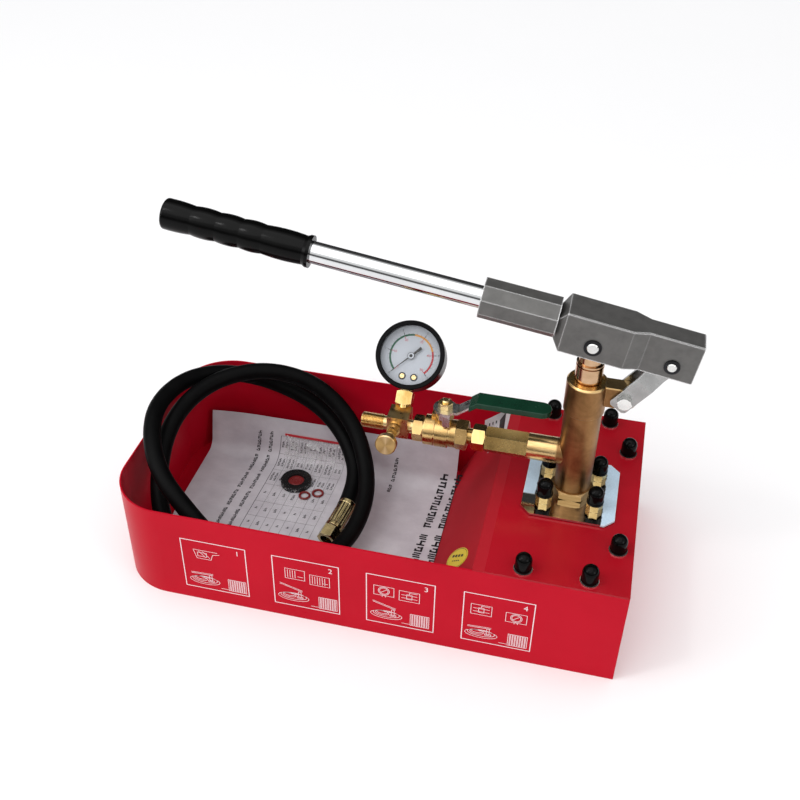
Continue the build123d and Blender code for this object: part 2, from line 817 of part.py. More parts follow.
# Link
def make_link_plate(side):
    """A plate that steps inwards on its way up into the lever head."""
    half = link_width / 2
    t = link_plate_thick
    tip = link_length + link_eye_radius
    outline = ((-link_low_end, link_low_inner), (link_jog_start, link_low_inner),
               (link_jog_end, link_high_inner), (tip, link_high_inner), (tip, link_high_inner + t),
               (link_jog_end, link_high_inner + t), (link_jog_start, link_low_inner + t),
               (-link_low_end, link_low_inner + t))
    bent = extrude(face_of(Polyline(*outline, close=True)), 2 * link_eye_radius)
    bent = Pos(0, 0, -link_eye_radius) * bent
    tall = link_low_inner + t + cut_over
    plan = block(-link_low_end, link_length, 0, tall, -half, half)
    plan += Pos(link_length, tall, 0) * Rot(quarter, 0, 0) * rod(link_eye_radius, 0, tall)
    plate = bent & plan
    plate -= cross_pin(link_pin_radius + fit, tall)
    plate -= Pos(link_length, 0, 0) * cross_pin(link_eye_hole, tall)
    corner_edges = [e for e in plate.edges() if abs((e @ 0.5).X + link_low_end) < seat_gap
                    and abs((e @ 0).Y - (e @ 1).Y) > t / 2]
    plate = fillet(corner_edges, link_corner)
    if side < 0:
        plate = mirror(plate, Plane.XZ)
    return on_link(plate)


def make_link_bolt():
    face = link_low_inner + link_plate_thick + seat_gap
    bolt = cross_pin(link_pin_radius, face)
    head = chamfered_bar(6, 2 * link_bolt_head_radius * cos(pi / 6), face, face + link_bolt_head)
    for turn in (quarter, -quarter):
        bolt += Rot(turn, 0, 0) * head
    return on_link(bolt)


# Delivery line
def make_coupling():
    bar = chamfered_bar(6, coupling_flats, coupling_start_s, boss_end_s - seat_gap,
                        quarter + coupling_turn)
    bar += rod(coupling_tail_radius, valve_end_s - boss_thread_depth / 2, coupling_start_s)
    bar += rod(boss_thread_radius, boss_end_s - seat_gap, boss_end_s + boss_thread_depth - gap)
    bar -= rod(line_bore_radius, 0, coupling_chamber_end_s)
    bar -= rod(coupling_chamber_radius, coupling_chamber_start_s, coupling_chamber_end_s)
    bar -= rod(port_radius, coupling_chamber_start_s, line_reach)
    return along_pipe(bar)


ball_seat_set = sqrt(delivery_ball_radius ** 2 - port_radius ** 2)
delivery_ball_s = coupling_chamber_end_s - ball_seat_set - fit
suction_seat_set = sqrt(suction_ball_radius ** 2 - suction_bore_radius ** 2)
suction_top_z = spigot_bottom_z + suction_thread_length - seat_gap
suction_ball_z = suction_top_z + suction_seat_set + fit


def make_delivery_spring():
    low = coupling_chamber_start_s + seat_gap
    high = delivery_ball_s - delivery_ball_radius - delivery_ball_travel - fit
    return along_pipe(ring(spring_radius, spring_radius - spring_wall, low, high))


def make_lock_nut():
    return along_pipe(chamfered_bar(6, lock_nut_flats, lock_nut_start_s, lock_nut_end_s,
                                    quarter - lock_nut_turn)
                      - rod(coupling_tail_radius + fit, 0, line_reach))


def make_valve_body():
    body = chamfered_bar(6, valve_hex_flats, valve_start_s, valve_hex_end_s, quarter - valve_hex_turn)
    body += rod(valve_neck_radius, valve_hex_end_s, valve_ring_start_s)
    body += rod(valve_ring_radius, valve_ring_start_s, valve_ring_end_s)
    body += rod(valve_groove_radius, valve_ring_end_s, valve_waist_start_s)
    body += rod(valve_waist_radius, valve_waist_start_s, valve_split_s - valve_split_groove)
    body += rod(valve_groove_radius, valve_split_s - valve_split_groove, valve_split_s)
    body = along_pipe(body)
    body += at_stem(rod(valve_neck_outer, pipe_z, valve_neck_top_z))
    body += on_line(block(stop_lug_start_s, stop_lug_end_s, stop_lug_y, stop_lug_y + stop_lug_width,
                          pipe_z, pipe_z + stop_lug_height))
    body -= along_pipe(rod(valve_cap_ring_radius + fit, valve_split_s, valve_cap_ring_end_s))
    cavity_start = stem_s - valve_ball_radius - valve_seat_thick
    body -= along_pipe(rod(valve_cavity_radius, cavity_start, valve_split_s + cut_over))
    body -= along_pipe(rod(valve_spigot_radius + fit, valve_split_s - valve_spigot_length,
                           valve_split_s + cut_over))
    body -= along_pipe(rod(line_bore_radius, valve_start_s, valve_split_s))
    body -= along_pipe(rod(manifold_thread_radius + fit, valve_start_s - cut_over, manifold_tail_end_s))
    return body - at_stem(rod(stem_radius + fit, pipe_z, valve_neck_top_z + cut_over))


def make_valve_end():
    end = rod(valve_cap_ring_radius, valve_split_s + seat_gap, valve_cap_ring_end_s)
    end += chamfered_bar(6, valve_end_hex_flats, valve_cap_ring_end_s, valve_end_s, quarter)
    end += rod(valve_spigot_radius, valve_split_s - valve_spigot_length + seat_gap, valve_split_s + seat_gap)
    end -= rod(valve_cavity_radius, 0, stem_s + valve_ball_radius + valve_seat_thick)
    end -= rod(line_bore_radius, 0, line_reach)
    end -= rod(coupling_tail_radius + fit, valve_end_s - boss_thread_depth / 2 - seat_gap, line_reach)
    return along_pipe(end)


def make_valve_seats():
    """Two soft rings dished to the ball."""
    seats = []
    seat_set = sqrt(valve_ball_radius ** 2 - line_bore_radius ** 2)
    for side in (-1, 1):
        near = stem_s + side * (seat_set - fit)
        far = stem_s + side * (valve_ball_radius + valve_seat_thick - seat_gap)
        washer = ring(valve_cavity_radius - fit, line_bore_radius, min(near, far), max(near, far))
        washer -= Pos(0, 0, stem_s) * Sphere(valve_ball_radius + fit)
        seats.append(along_pipe(washer))
    return Compound(seats)


def make_valve_ball():
    ball = Sphere(valve_ball_radius)
    ball -= Rot(0, quarter, 0) * rod(line_bore_radius, -valve_cavity_radius, valve_cavity_radius)
    ball -= block(-valve_ball_radius, valve_ball_radius, -stem_radius / 2 - fit, stem_radius / 2 + fit,
                  valve_ball_radius - stem_radius / 2, valve_ball_radius + cut_over)
    return at_stem(Pos(0, 0, pipe_z) * ball)


def make_valve_stem():
    top_z = handle_plate_z + handle_plate_thick + handle_nut_height + stem_proud
    tongue = block(-stem_radius / 2, stem_radius / 2, -stem_radius / 2, stem_radius / 2,
                   pipe_z + valve_ball_radius - stem_radius / 2 + fit, pipe_z + valve_ball_radius + gap)
    stem = rod(stem_radius, pipe_z + valve_ball_radius + gap, top_z - stem_radius / 4)
    stem += cone(stem_radius, stem_radius * 3 / 4, top_z - stem_radius / 4, top_z)
    return at_stem(stem + tongue)


def make_packing_nut():
    nut = chamfered_bar(6, packing_nut_flats, valve_neck_top_z + seat_gap, packing_nut_top_z)
    return at_stem(nut - rod(stem_radius + fit, pipe_z, packing_nut_top_z + cut_over))


def handle_profile(low, high, tip):
    """The handle's side view between two offsets from the plate's underside: flat, rising, flat."""
    z0 = handle_plate_z
    z1 = handle_plate_z + handle_rise
    left = stem_s - handle_eye_radius
    points = ((left, z0 + low), (handle_rise_start_s, z0 + low), (handle_rise_end_s, z1 + low),
              (tip, z1 + low), (tip, z1 + high), (handle_rise_end_s, z1 + high),
              (handle_rise_start_s, z0 + high), (left, z0 + high))
    return face_of(Polyline(*points, close=True))


def bent_plate(low, high, tip, wide):
    """The handle's side view carried across the given width."""
    return Pos(0, wide / 2, 0) * Rot(quarter, 0, 0) * extrude(handle_profile(low, high, tip), wide)


def strip_plan(start, tip, half, eye):
    """A strip with a round tip seen from above, and where eye is given a round eye at the stem."""
    z0 = handle_plate_z - sleeve_wall - cut_over
    z1 = handle_plate_z + handle_rise + handle_plate_thick + sleeve_wall + cut_over
    plan = block(start, tip - half, -half, half, z0, z1)
    plan += Pos(tip - half, 0, 0) * rod(half, z0, z1)
    if eye:
        plan += Pos(stem_s, 0, 0) * rod(eye, z0, z1)
    return plan


def make_valve_handle():
    plate = bent_plate(0, handle_plate_thick, handle_tip_s, 2 * handle_eye_radius)
    plate &= strip_plan(stem_s, handle_tip_s, handle_neck_width / 2, handle_eye_radius)
    tab_s = stem_s + stop_tab_shift
    half_tab = stop_tab_width / 2
    plate += block(tab_s - half_tab, tab_s + half_tab, -stop_tab_y - handle_plate_thick / 2,
                   -stop_tab_y + handle_plate_thick / 2, handle_plate_z - stop_tab_drop,
                   handle_plate_z + handle_plate_thick)
    plate -= Pos(stem_s, 0, 0) * rod(stem_radius + fit, 0, handle_plate_z + handle_rise)
    return on_line(plate)


def make_handle_sleeve():
    half = sleeve_width / 2
    body = bent_plate(-sleeve_wall, handle_plate_thick + sleeve_wall, sleeve_tip_s, sleeve_width)
    body &= strip_plan(sleeve_start_s, sleeve_tip_s, half, 0)
    rims = [e for e in body.edges()
            if (e @ 0.5).X > sleeve_start_s + cut_over and abs((e @ 0).Y) > half - cut_over
            and (e.geom_type == GeomType.CIRCLE or abs((e @ 0.5).Y) > half - cut_over)]
    body = fillet(rims, sleeve_wall / 2)
    inner = bent_plate(-seat_gap, handle_plate_thick + seat_gap, handle_tip_s + seat_gap, sleeve_width)
    inner &= strip_plan(stem_s, handle_tip_s + seat_gap, handle_neck_width / 2 + seat_gap, 0)
    return on_line(body - inner)


def make_handle_nut():
    z0 = handle_plate_z + handle_plate_thick + seat_gap
    return at_stem(Pos(0, 0, z0) * make_nut(handle_nut_flats, handle_nut_height, stem_radius + fit))


# Manifold and its branches
def make_manifold():
    bar = Rot(0, quarter, 0) * prism(4, manifold_flats, manifold_start_s, manifold_end_s)
    bar = Pos(0, manifold_back, manifold_up) * bar
    bar &= Rot(0, quarter, 0) * rod(manifold_edge_radius, manifold_start_s, manifold_end_s)
    bar = Pos(line_zero_x, 0, pipe_z) * bar
    bar += along_pipe(rod(outlet_radius, outlet_start_s + cut_over, manifold_start_s))
    bar += along_pipe(cone(outlet_radius - cut_over, outlet_radius, outlet_start_s,
                           outlet_start_s + cut_over))
    bar += along_pipe(rod(manifold_thread_radius, manifold_end_s, manifold_tail_end_s - seat_gap))
    bar -= along_pipe(rod(outlet_bore_radius, outlet_start_s - cut_over, manifold_tail_end_s + cut_over))
    bar -= gauge_branch(rod(gauge_thread_radius + fit, bleed_tip + cut_over, manifold_flats))
    bar -= gauge_branch(rod(port_radius, 0, bleed_tip + 2 * cut_over))
    bar -= bleed_branch(rod(bleed_stem_radius + fit, bleed_tip, manifold_flats))
    bar -= bleed_branch(rod(port_radius, 0, bleed_tip + cut_over))
    return bar


def make_gauge_socket():
    square_end = gauge_reach - bezel_radius - seat_gap
    stem = rod(gauge_thread_radius, bleed_tip + 2 * cut_over, gauge_square_start)
    stem += chamfered_bar(4, gauge_square_flats, gauge_square_start, square_end)
    wall_end = gauge_reach - gauge_radius + gauge_wall
    block_start = wall_end + gap
    stem += rod(gauge_neck_radius, square_end, wall_end)
    stem += rod(port_radius, wall_end, block_start)
    half = gauge_block / 2
    front = dial_z - gauge_wall - gap
    stem += block(-half, half, -front, gauge_block - front, block_start, block_start + gauge_block)
    stem -= rod(port_radius / 2, 0, block_start + gauge_block / 2)
    return gauge_branch(stem)


def make_gauge_case():
    case = ring(gauge_radius, gauge_radius - gauge_wall, -gauge_back, gauge_front - bezel_thick - seat_gap)
    case += rod(gauge_radius, -gauge_back, -gauge_back + gauge_wall)
    case += ring(gauge_radius, gauge_radius - 2 * gauge_wall, dial_z - gauge_wall, dial_z - seat_gap)
    case = Rot(quarter, 0, 0) * case
    case -= rod(gauge_neck_radius + fit, -gauge_radius - cut_over, -gauge_radius / 2)
    return gauge_branch(Pos(0, 0, gauge_reach) * case)


def make_bezel():
    lip = gauge_front - bezel_thick
    shape = ring(bezel_radius, gauge_radius + fit, gauge_front - bezel_skirt, gauge_front)
    shape += ring(bezel_radius, bezel_lip_radius, lip, gauge_front)
    rim = shape.edges().filter_by(GeomType.CIRCLE).group_by(Axis.Z)[-1].sort_by(SortBy.RADIUS)
    return on_gauge(fillet(rim, head_edge))


def make_dial():
    inner = gauge_radius - gauge_wall - fit
    return on_gauge(ring(inner, needle_shaft_radius + fit, dial_z, dial_z + dial_thick))


def make_lens():
    inner = gauge_radius - gauge_wall - fit
    top = gauge_front - bezel_thick - seat_gap
    return on_gauge(rod(inner, top - lens_thick, top))


def make_needle():
    tip = (needle_length, 0)
    w = needle_width / 2
    tw = needle_tail_width / 2
    points = (tip, (0, w), (-needle_tail, tw), (-needle_tail, -tw), (0, -w))
    arm = Pos(0, 0, needle_z) * extrude(face_of(Polyline(*points, close=True)), needle_thick)
    arm += rod(needle_hub_radius, needle_z, needle_z + 2 * needle_thick)
    arm += rod(needle_shaft_radius, movement_back - cut_over, needle_z)
    return on_gauge(Rot(0, 0, needle_zero) * arm)


def make_movement():
    half_x = movement_length / 2
    half_y = movement_width / 2
    plate = block(-half_x, half_x, -half_y, half_y, movement_back, movement_back + movement_thick)
    block_top = gauge_radius - gauge_wall - gap - gauge_block
    plate += block(-half_y / 2, half_y / 2, seat_gap - block_top, 0, movement_back, movement_back + cut_over)
    return on_gauge(plate - rod(needle_shaft_radius + fit, movement_back - cut_over, needle_z))


def make_bourdon():
    """A thin tube bent round most of the case, rooted beside the socket's block."""
    start = degrees(asin((gauge_block / 2 + seat_gap) / (bourdon_radius - bourdon_tube_radius))) - quarter
    centre = (bourdon_radius * cos(radians(start)), bourdon_radius * sin(radians(start)), bourdon_z)
    circle = Plane(origin=centre, x_dir=(0, 0, 1), z_dir=(-sin(radians(start)), cos(radians(start)), 0)) \
        * Circle(bourdon_tube_radius)
    tube = revolve(circle, Axis.Z, bourdon_sweep)
    return on_gauge(tube)


def make_dial_screws():
    z0 = dial_z + dial_thick + seat_gap
    screws = []
    for side in (-1, 1):
        head = rod(dial_screw_radius, z0, z0 + dial_screw_thick)
        head -= block(-dial_screw_radius, dial_screw_radius, -dial_screw_thick / 4, dial_screw_thick / 4,
                      z0 + dial_screw_thick / 2, z0 + dial_screw_thick + cut_over)
        screws.append(Pos(side * dial_screw_x, -dial_screw_drop, 0) * head)
    return on_gauge(Compound(screws))


def make_bleed_screw():
    screw = rod(bleed_stem_radius, bleed_tip + fit, bleed_knob_start)
    screw += rod(bleed_collar_radius, bleed_collar_start, bleed_collar_end)
    knob = rod(bleed_knob_radius, bleed_knob_start, bleed_knob_end)
    screw += chamfer(knob.edges().filter_by(GeomType.CIRCLE), head_edge)
    screw -= Pos(0, 0, bleed_vent_at) * cross_pin(bleed_vent_radius, bleed_stem_radius + cut_over)
    return bleed_branch(screw)


# Suction side
def make_suction_fitting():
    hex_top = spigot_bottom_z - seat_gap
    hex_low = hex_top - suction_hex_height
    fitting = chamfered_bar(6, suction_hex_flats, hex_low, hex_top)
    fitting += rod(suction_thread_radius, hex_top, suction_top_z)
    fitting += rod(suction_tail_radius, hex_low - suction_tail_length, hex_low)
    fitting -= rod(suction_bore_radius, 0, suction_top_z + cut_over)
    fitting -= rod(suction_tube_radius + fit, 0, hex_low + seat_gap)
    return Pos(pump_x, 0, 0) * fitting


def make_suction_tube():
    top = spigot_bottom_z - seat_gap - suction_hex_height
    return Pos(pump_x, 0, 0) * ring(suction_tube_radius, suction_tube_radius - suction_tube_wall,
                                    suction_tube_bottom_z, top)


def make_strainer():
    cup = rod(strainer_radius, strainer_bottom_z, strainer_top_z)
    cup -= rod(strainer_radius - strainer_wall, strainer_bottom_z + strainer_wall,
               strainer_top_z - strainer_wall)
    cup -= rod(suction_tube_radius + fit, strainer_top_z - strainer_wall - cut_over,
               strainer_top_z + cut_over)
    hole = rod(strainer_hole_radius, strainer_radius / 2, strainer_radius + cut_over)
    hole = Rot(0, quarter, 0) * hole
    rows = strainer_rows + 1
    for row in range(1, rows):
        z = strainer_bottom_z + (strainer_top_z - strainer_bottom_z) * row / rows
        for k in range(strainer_hole_count):
            cup -= Pos(0, 0, z) * Rot(0, 0, 360 * k / strainer_hole_count) * hole
    return Pos(pump_x, 0, 0) * cup


# Hose
def corner_radii(points):
    """At each corner, a share of the shorter run over the tangent of half the turn."""
    radii = []
    for a, b, c in zip(points[:-2], points[1:-1], points[2:]):
        first = Vector(b) - Vector(a)
        second = Vector(c) - Vector(b)
        turn = radians(first.get_angle(second))
        radii.append(radius_share * min(first.length, second.length) / tan(turn / 2))
    return radii


def make_hose():
    radii = corner_radii(hose_route)
    path = FilletPolyline(*hose_route, radius=radii)
    start = Plane(origin=path @ 0, z_dir=path % 0)
    outer = sweep(start * Circle(hose_radius), path)
    inner = sweep(start * Circle(hose_bore_radius), path)
    hose = outer - inner
    section = pi * (hose_radius ** 2 - hose_bore_radius ** 2)
    print("hose length", round(path.length, 1), "volume over section times length",
          round(hose.volume / section / path.length, 5))
    print("hose radii", [round(r) for r in radii])
    count = 400
    places = [path @ (k / count) for k in range(count + 1)]
    apart = int(count * 4 * hose_radius / path.length) + 1
    least = min((places[i] - places[j]).length for i in range(count + 1) for j in range(i + apart, count + 1))
    print("hose least gap to itself", round(least - 2 * hose_radius, 2))
    return hose


def end_plane(k, beside):
    """At one end of the hose, a plane whose Z leads away from the hose."""
    end = Vector(hose_route[k])
    return Plane(origin=end, x_dir=(0, 0, 1), z_dir=end - Vector(hose_route[beside]))


def place_on(plane, shape):
    return plane.location * shape


def make_ferrule():
    """A crimped sleeve with a tail and a head that the swivel nut turns on."""
    head_start = ferrule_past + swivel_gap + swivel_face + seat_gap
    head_end = head_start + swivel_head - 2 * seat_gap
    body = rod(ferrule_radius, -ferrule_cover, ferrule_past)
    body -= rod(hose_radius + fit, -ferrule_cover - cut_over, 0)
    body += rod(ferrule_tail_radius, ferrule_past, head_end)
    body += rod(ferrule_head_radius, head_start, head_end)
    body -= rod(ferrule_bore_radius, -cut_over, head_end + cut_over)
    for edge_z in (-ferrule_cover, ferrule_past):
        body -= ring(ferrule_radius + cut_over, ferrule_radius - head_edge, edge_z - head_edge / 2,
                     edge_z + head_edge / 2)
    return body


def make_swivel_nut():
    start = ferrule_past + swivel_gap
    head_end = start + swivel_face + swivel_head
    end = start + swivel_length
    nut = chamfered_bar(6, swivel_flats, start, end, quarter)
    nut -= rod(ferrule_tail_radius + fit, 0, head_end)
    nut -= rod(ferrule_head_radius + fit, start + swivel_face, head_end)
    return nut - rod(outlet_radius + fit, head_end, end + cut_over)


# Loose things in the tank
def across(shape, x0, x1):
    """Turns a Y-Z outline drawn in X and Y into a sheet from x0 to x1."""
    return Pos(x0, 0, 0) * Rot(0, 0, quarter) * Rot(quarter, 0, 0) * extrude(shape, x1 - x0)


def upturned(offset, thick, flat_start, flap):
    """A strip's side view: flat from flat_start, bent up at the back, set off from the sheet's underside."""
    low = floor_z + seat_gap
    centre_z = low + leaflet_bend_radius
    turn = radians(leaflet_bend_turn)
    inner = leaflet_bend_radius - offset - thick
    outer = leaflet_bend_radius - offset

    def on_bend(radius, angle, run):
        y = leaflet_bend_y + radius * sin(angle) + run * cos(turn)
        return y, centre_z - radius * cos(angle) + run * sin(turn)

    return face_of(
        Line((flat_start, centre_z - outer), (leaflet_bend_y, centre_z - outer)),
        ThreePointArc((leaflet_bend_y, centre_z - outer), on_bend(outer, turn / 2, 0),
                      on_bend(outer, turn, 0)),
        Line(on_bend(outer, turn, 0), on_bend(outer, turn, flap)),
        Line(on_bend(outer, turn, flap), on_bend(inner, turn, flap)),
        Line(on_bend(inner, turn, flap), on_bend(inner, turn, 0)),
        ThreePointArc(on_bend(inner, turn, 0), on_bend(inner, turn / 2, 0),
                      (leaflet_bend_y, centre_z - inner)),
        Line((leaflet_bend_y, centre_z - inner), (flat_start, centre_z - inner)),
        Line((flat_start, centre_z - inner), (flat_start, centre_z - outer)),
    )


leaflet_top_z = floor_z + seat_gap + leaflet_thick


def make_leaflet():
    bend = leaflet_bend_radius * radians(leaflet_bend_turn)
    print("leaflet flat", leaflet_right_x - leaflet_left_x, "by",
          round(leaflet_bend_y - leaflet_front_y + bend + leaflet_flap, 1))
    return across(upturned(0, leaflet_thick, leaflet_front_y, leaflet_flap), leaflet_left_x, leaflet_right_x)


def make_bag():
    """A film over the spare seals: down the upturned sheet, over the seals and down to the floor."""
    lift = leaflet_thick + seat_gap
    back = across(upturned(lift, bag_thick, leaflet_bend_y - cut_over, bag_flap), bag_left_x, bag_right_x)
    top = leaflet_top_z + bag_height
    side = leaflet_bend_y - cut_over
    hull = block(bag_left_x, bag_right_x, bag_front_y, side, leaflet_top_z + seat_gap, top)
    inside = block(bag_left_x + bag_thick, bag_right_x - bag_thick, bag_front_y + bag_thick, side - bag_thick,
                   leaflet_top_z - cut_over, top - bag_thick)
    return back + (hull - inside)


def make_bag_strip():
    """The red grip strip along the bag's mouth."""
    lift = leaflet_thick + bag_thick + 2 * seat_gap
    tall = upturned(lift, strip_thick, leaflet_bend_y - cut_over, bag_flap)
    low = upturned(lift - seat_gap, strip_thick + 2 * seat_gap, leaflet_bend_y - 2 * cut_over,
                   bag_flap - strip_width)
    return across(tall - low, bag_left_x, bag_right_x)


def make_spare_seal():
    low = leaflet_top_z + seat_gap
    return Pos(seal_x, seal_y, 0) * ring(seal_big_radius, seal_big_hole, low, low + seal_big_thick)


def make_spare_o_rings():
    low = leaflet_top_z + seat_gap
    profile = Pos((o_ring_radius + o_ring_hole) / 2, 0, low + o_ring_thick / 2) * Rot(quarter, 0, 0) \
        * Circle(o_ring_thick / 2)
    o_ring = revolve(profile, Axis.Z)
    return Compound([Pos(seal_x + x, seal_y + y, 0) * o_ring for x, y in o_ring_offsets])


write("tank", make_tank())
write("deck", make_deck())
write("deck_bolts", at_places(deck_bolt_places, flange_top_z - sheet - seat_gap, make_bolt(
    deck_head_flats, deck_head_height, deck_thread_radius, 2 * sheet + seat_gap, deck_thread_out)))
write("deck_washers", at_places(deck_bolt_places, deck_top_z + seat_gap,
                                ring(washer_radius, deck_thread_radius + fit, 0, washer_thick)))
deck_nut_z = deck_top_z + washer_thick + 2 * seat_gap
write("deck_nuts", at_places(deck_bolt_places, deck_nut_z,
                             make_nut(deck_nut_flats, deck_nut_height, deck_thread_radius + fit)))
write("deck_caps", at_places(deck_bolt_places, deck_nut_z, make_deck_cap()))

write("base_gasket", make_plate(deck_top_z + seat_gap, gasket_thick - seat_gap, -gasket_inset))
write("base_plate", make_plate(gasket_top_z + seat_gap, plate_thick - seat_gap, 0))
write("pump_body", make_pump_body())
stack = plate_top_z - flange_top_z
write("plate_bolts", at_places(plate_bolt_places, flange_top_z - seat_gap, make_bolt(
    plate_nut_flats, plate_head_height, plate_thread_radius, stack + seat_gap, plate_thread_out)))
write("plate_nuts", at_places(plate_bolt_places, plate_top_z + seat_gap,
                              make_nut(plate_nut_flats, plate_nut_height, plate_thread_radius + fit)))
write("plate_caps", at_places(plate_bolt_places, plate_top_z + plate_nut_height + 2 * seat_gap,
                              make_plate_cap()))
write("gland_seal", make_gland_seal())
write("gland_ring", make_gland_ring())
write("piston", make_piston())

write("suction_fitting", make_suction_fitting())
write("suction_ball", Pos(pump_x, 0, suction_ball_z) * Sphere(suction_ball_radius))
write("suction_tube", make_suction_tube())
write("suction_strainer", make_strainer())

write("delivery_coupling", make_coupling())
write("delivery_ball", along_pipe(Pos(0, 0, delivery_ball_s) * Sphere(delivery_ball_radius)))
write("delivery_spring", make_delivery_spring())
write("coupling_lock_nut", make_lock_nut())
write("valve_body", make_valve_body())
write("valve_end", make_valve_end())
write("valve_seats", make_valve_seats())
write("valve_ball", make_valve_ball())
write("valve_stem", make_valve_stem())
write("valve_packing_nut", make_packing_nut())
write("valve_handle", make_valve_handle())
write("valve_handle_sleeve", make_handle_sleeve())
write("valve_handle_nut", make_handle_nut())
write("manifold", make_manifold())
write("bleed_screw", make_bleed_screw())

write("gauge_socket", make_gauge_socket())
write("gauge_case", make_gauge_case())
write("gauge_bezel", make_bezel())
write("gauge_dial", make_dial())
write("gauge_lens", make_lens())
write("gauge_needle", make_needle())
write("gauge_movement", make_movement())
write("gauge_bourdon_tube", make_bourdon())
write("gauge_dial_screws", make_dial_screws())

write("lever_head", make_lever_head())
write("lever_tube", make_lever_tube())
write("lever_grip", make_lever_grip())
write("piston_pin", on_lever(make_pin(piston_pin_radius, head_half + pin_proud)))
write("link_pin", on_lever(Pos(high_u, 0, high_v) * make_pin(link_pin_radius, head_nose_half + pin_proud)))
write("pin_clips", make_clips())
write("link_plates", Compound([make_link_plate(side) for side in (-1, 1)]))
write("link_bolt", make_link_bolt())

write("hose", make_hose())
near_end = end_plane(0, 1)
far_end = end_plane(-1, -2)
write("hose_ferrules", Compound([place_on(end, make_ferrule()) for end in (near_end, far_end)]))
write("hose_nut_near", place_on(near_end, make_swivel_nut()))
write("hose_nut_far", place_on(far_end, make_swivel_nut()))

write("leaflet", make_leaflet())
write("parts_bag", make_bag())
write("parts_bag_strip", make_bag_strip())
write("spare_seal", make_spare_seal())
write("spare_o_rings", make_spare_o_rings())
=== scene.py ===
import bpy
import numpy as np
from math import cos, pi, radians, sin
from mathutils import Matrix, Vector


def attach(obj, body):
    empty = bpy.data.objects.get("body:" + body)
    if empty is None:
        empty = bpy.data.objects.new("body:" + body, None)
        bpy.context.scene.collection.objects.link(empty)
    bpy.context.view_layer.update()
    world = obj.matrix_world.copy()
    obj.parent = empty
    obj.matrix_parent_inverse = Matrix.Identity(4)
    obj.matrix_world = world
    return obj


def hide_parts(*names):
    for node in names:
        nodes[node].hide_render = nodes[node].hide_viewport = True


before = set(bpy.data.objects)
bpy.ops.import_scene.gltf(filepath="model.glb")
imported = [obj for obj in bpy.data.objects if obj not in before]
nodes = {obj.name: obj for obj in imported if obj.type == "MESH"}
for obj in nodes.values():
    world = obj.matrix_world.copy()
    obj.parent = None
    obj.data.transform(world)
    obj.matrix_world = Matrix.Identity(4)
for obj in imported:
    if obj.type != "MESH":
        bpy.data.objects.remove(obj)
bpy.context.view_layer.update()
mm = 0.001
print("frame loaded:", len(nodes), "nodes")


def newObject(name, data):
    made = bpy.data.objects.new(name, data)
    bpy.context.scene.collection.objects.link(made)
    return made


def aroundTurn(count):
    return np.linspace(0, 2 * pi, count, endpoint=False)


# meshes from numpy arrays; every array of points is in millimetres

def meshFrom(name, points, faces, smooth=True):
    # faces is an array of quads or triangles, one row each
    mesh = bpy.data.meshes.new(name)
    points = np.asarray(points, dtype=np.float32).reshape(-1, 3) * mm
    faces = np.asarray(faces, dtype=np.int32)
    size = faces.shape[1]
    mesh.vertices.add(len(points))
    mesh.vertices.foreach_set("co", points.ravel())
    mesh.loops.add(faces.size)
    mesh.loops.foreach_set("vertex_index", faces.ravel())
    mesh.polygons.add(len(faces))
    mesh.polygons.foreach_set("loop_start", np.arange(len(faces), dtype=np.int32) * size)
    mesh.polygons.foreach_set("use_smooth", np.full(len(faces), smooth))
    mesh.update(calc_edges=True)
    mesh.validate()
    return newObject(name, mesh)


def gridFaces(rows, columns, closeRows=False, closeColumns=False):
    # quads between neighbouring points of a rows x columns grid
    r = np.arange(rows if closeRows else rows - 1)
    c = np.arange(columns if closeColumns else columns - 1)
    r, c = np.meshgrid(r, c, indexing="ij")
    r2, c2 = (r + 1) % rows, (c + 1) % columns
    quads = np.stack([r * columns + c, r * columns + c2, r2 * columns + c2, r2 * columns + c], axis=-1)
    return quads.reshape(-1, 4)


def addUv(piece, uv):
    # one pair of numbers per vertex, carried to its face corners
    layer = piece.data.uv_layers.new(name="UVMap")
    index = np.empty(len(piece.data.loops), dtype=np.int32)
    piece.data.loops.foreach_get("vertex_index", index)
    layer.data.foreach_set("uv", np.asarray(uv, dtype=np.float32).reshape(-1, 2)[index].ravel())


def joined(name, parts, smooth=False, split=False):
    # parts is a list of (points, faces), made one mesh; split cuts quads in two, to join them to triangles
    points, faces, start = [], [], 0
    for p, f in parts:
        p = np.asarray(p, dtype=float).reshape(-1, 3)
        f = np.asarray(f) + start
        points.append(p)
        start += len(p)
        faces += [f[:, :3], f[:, [0, 2, 3]]] if split and f.shape[1] == 4 else [f]
    return meshFrom(name, np.concatenate(points), np.concatenate(faces), smooth)


def ribbon(path, width, closed=False):
    # a flat line of even width along 2-D points: each point is pushed out both ways along its mitre, by
    # half the width over the cosine of half the turn there, held back at sharp turns
    leastCosine, mostStretch = 0.4, 2.5
    path = np.asarray(path, dtype=float)
    before, after = np.roll(path, 1, axis=0), np.roll(path, -1, axis=0)
    if not closed:
        before[0], after[-1] = 2 * path[0] - path[1], 2 * path[-1] - path[-2]
    normals = []
    for step in (path - before, after - path):
        step = step / np.linalg.norm(step, axis=1)[:, None]
        normals.append(np.stack([-step[:, 1], step[:, 0]], axis=1))
    mitre = normals[0] + normals[1]
    mitre /= np.maximum(np.linalg.norm(mitre, axis=1), 1e-6)[:, None]
    cosine = np.maximum(np.sum(mitre * normals[0], axis=1), leastCosine)
    offset = mitre * (width / 2 * np.clip(1 / cosine, 1, mostStretch))[:, None]
    both = np.stack([path + offset, path - offset], axis=1).reshape(-1, 2)
    flat = np.concatenate([both, np.zeros((len(both), 1))], axis=1)
    return flat, gridFaces(len(path), 2, closeRows=closed)


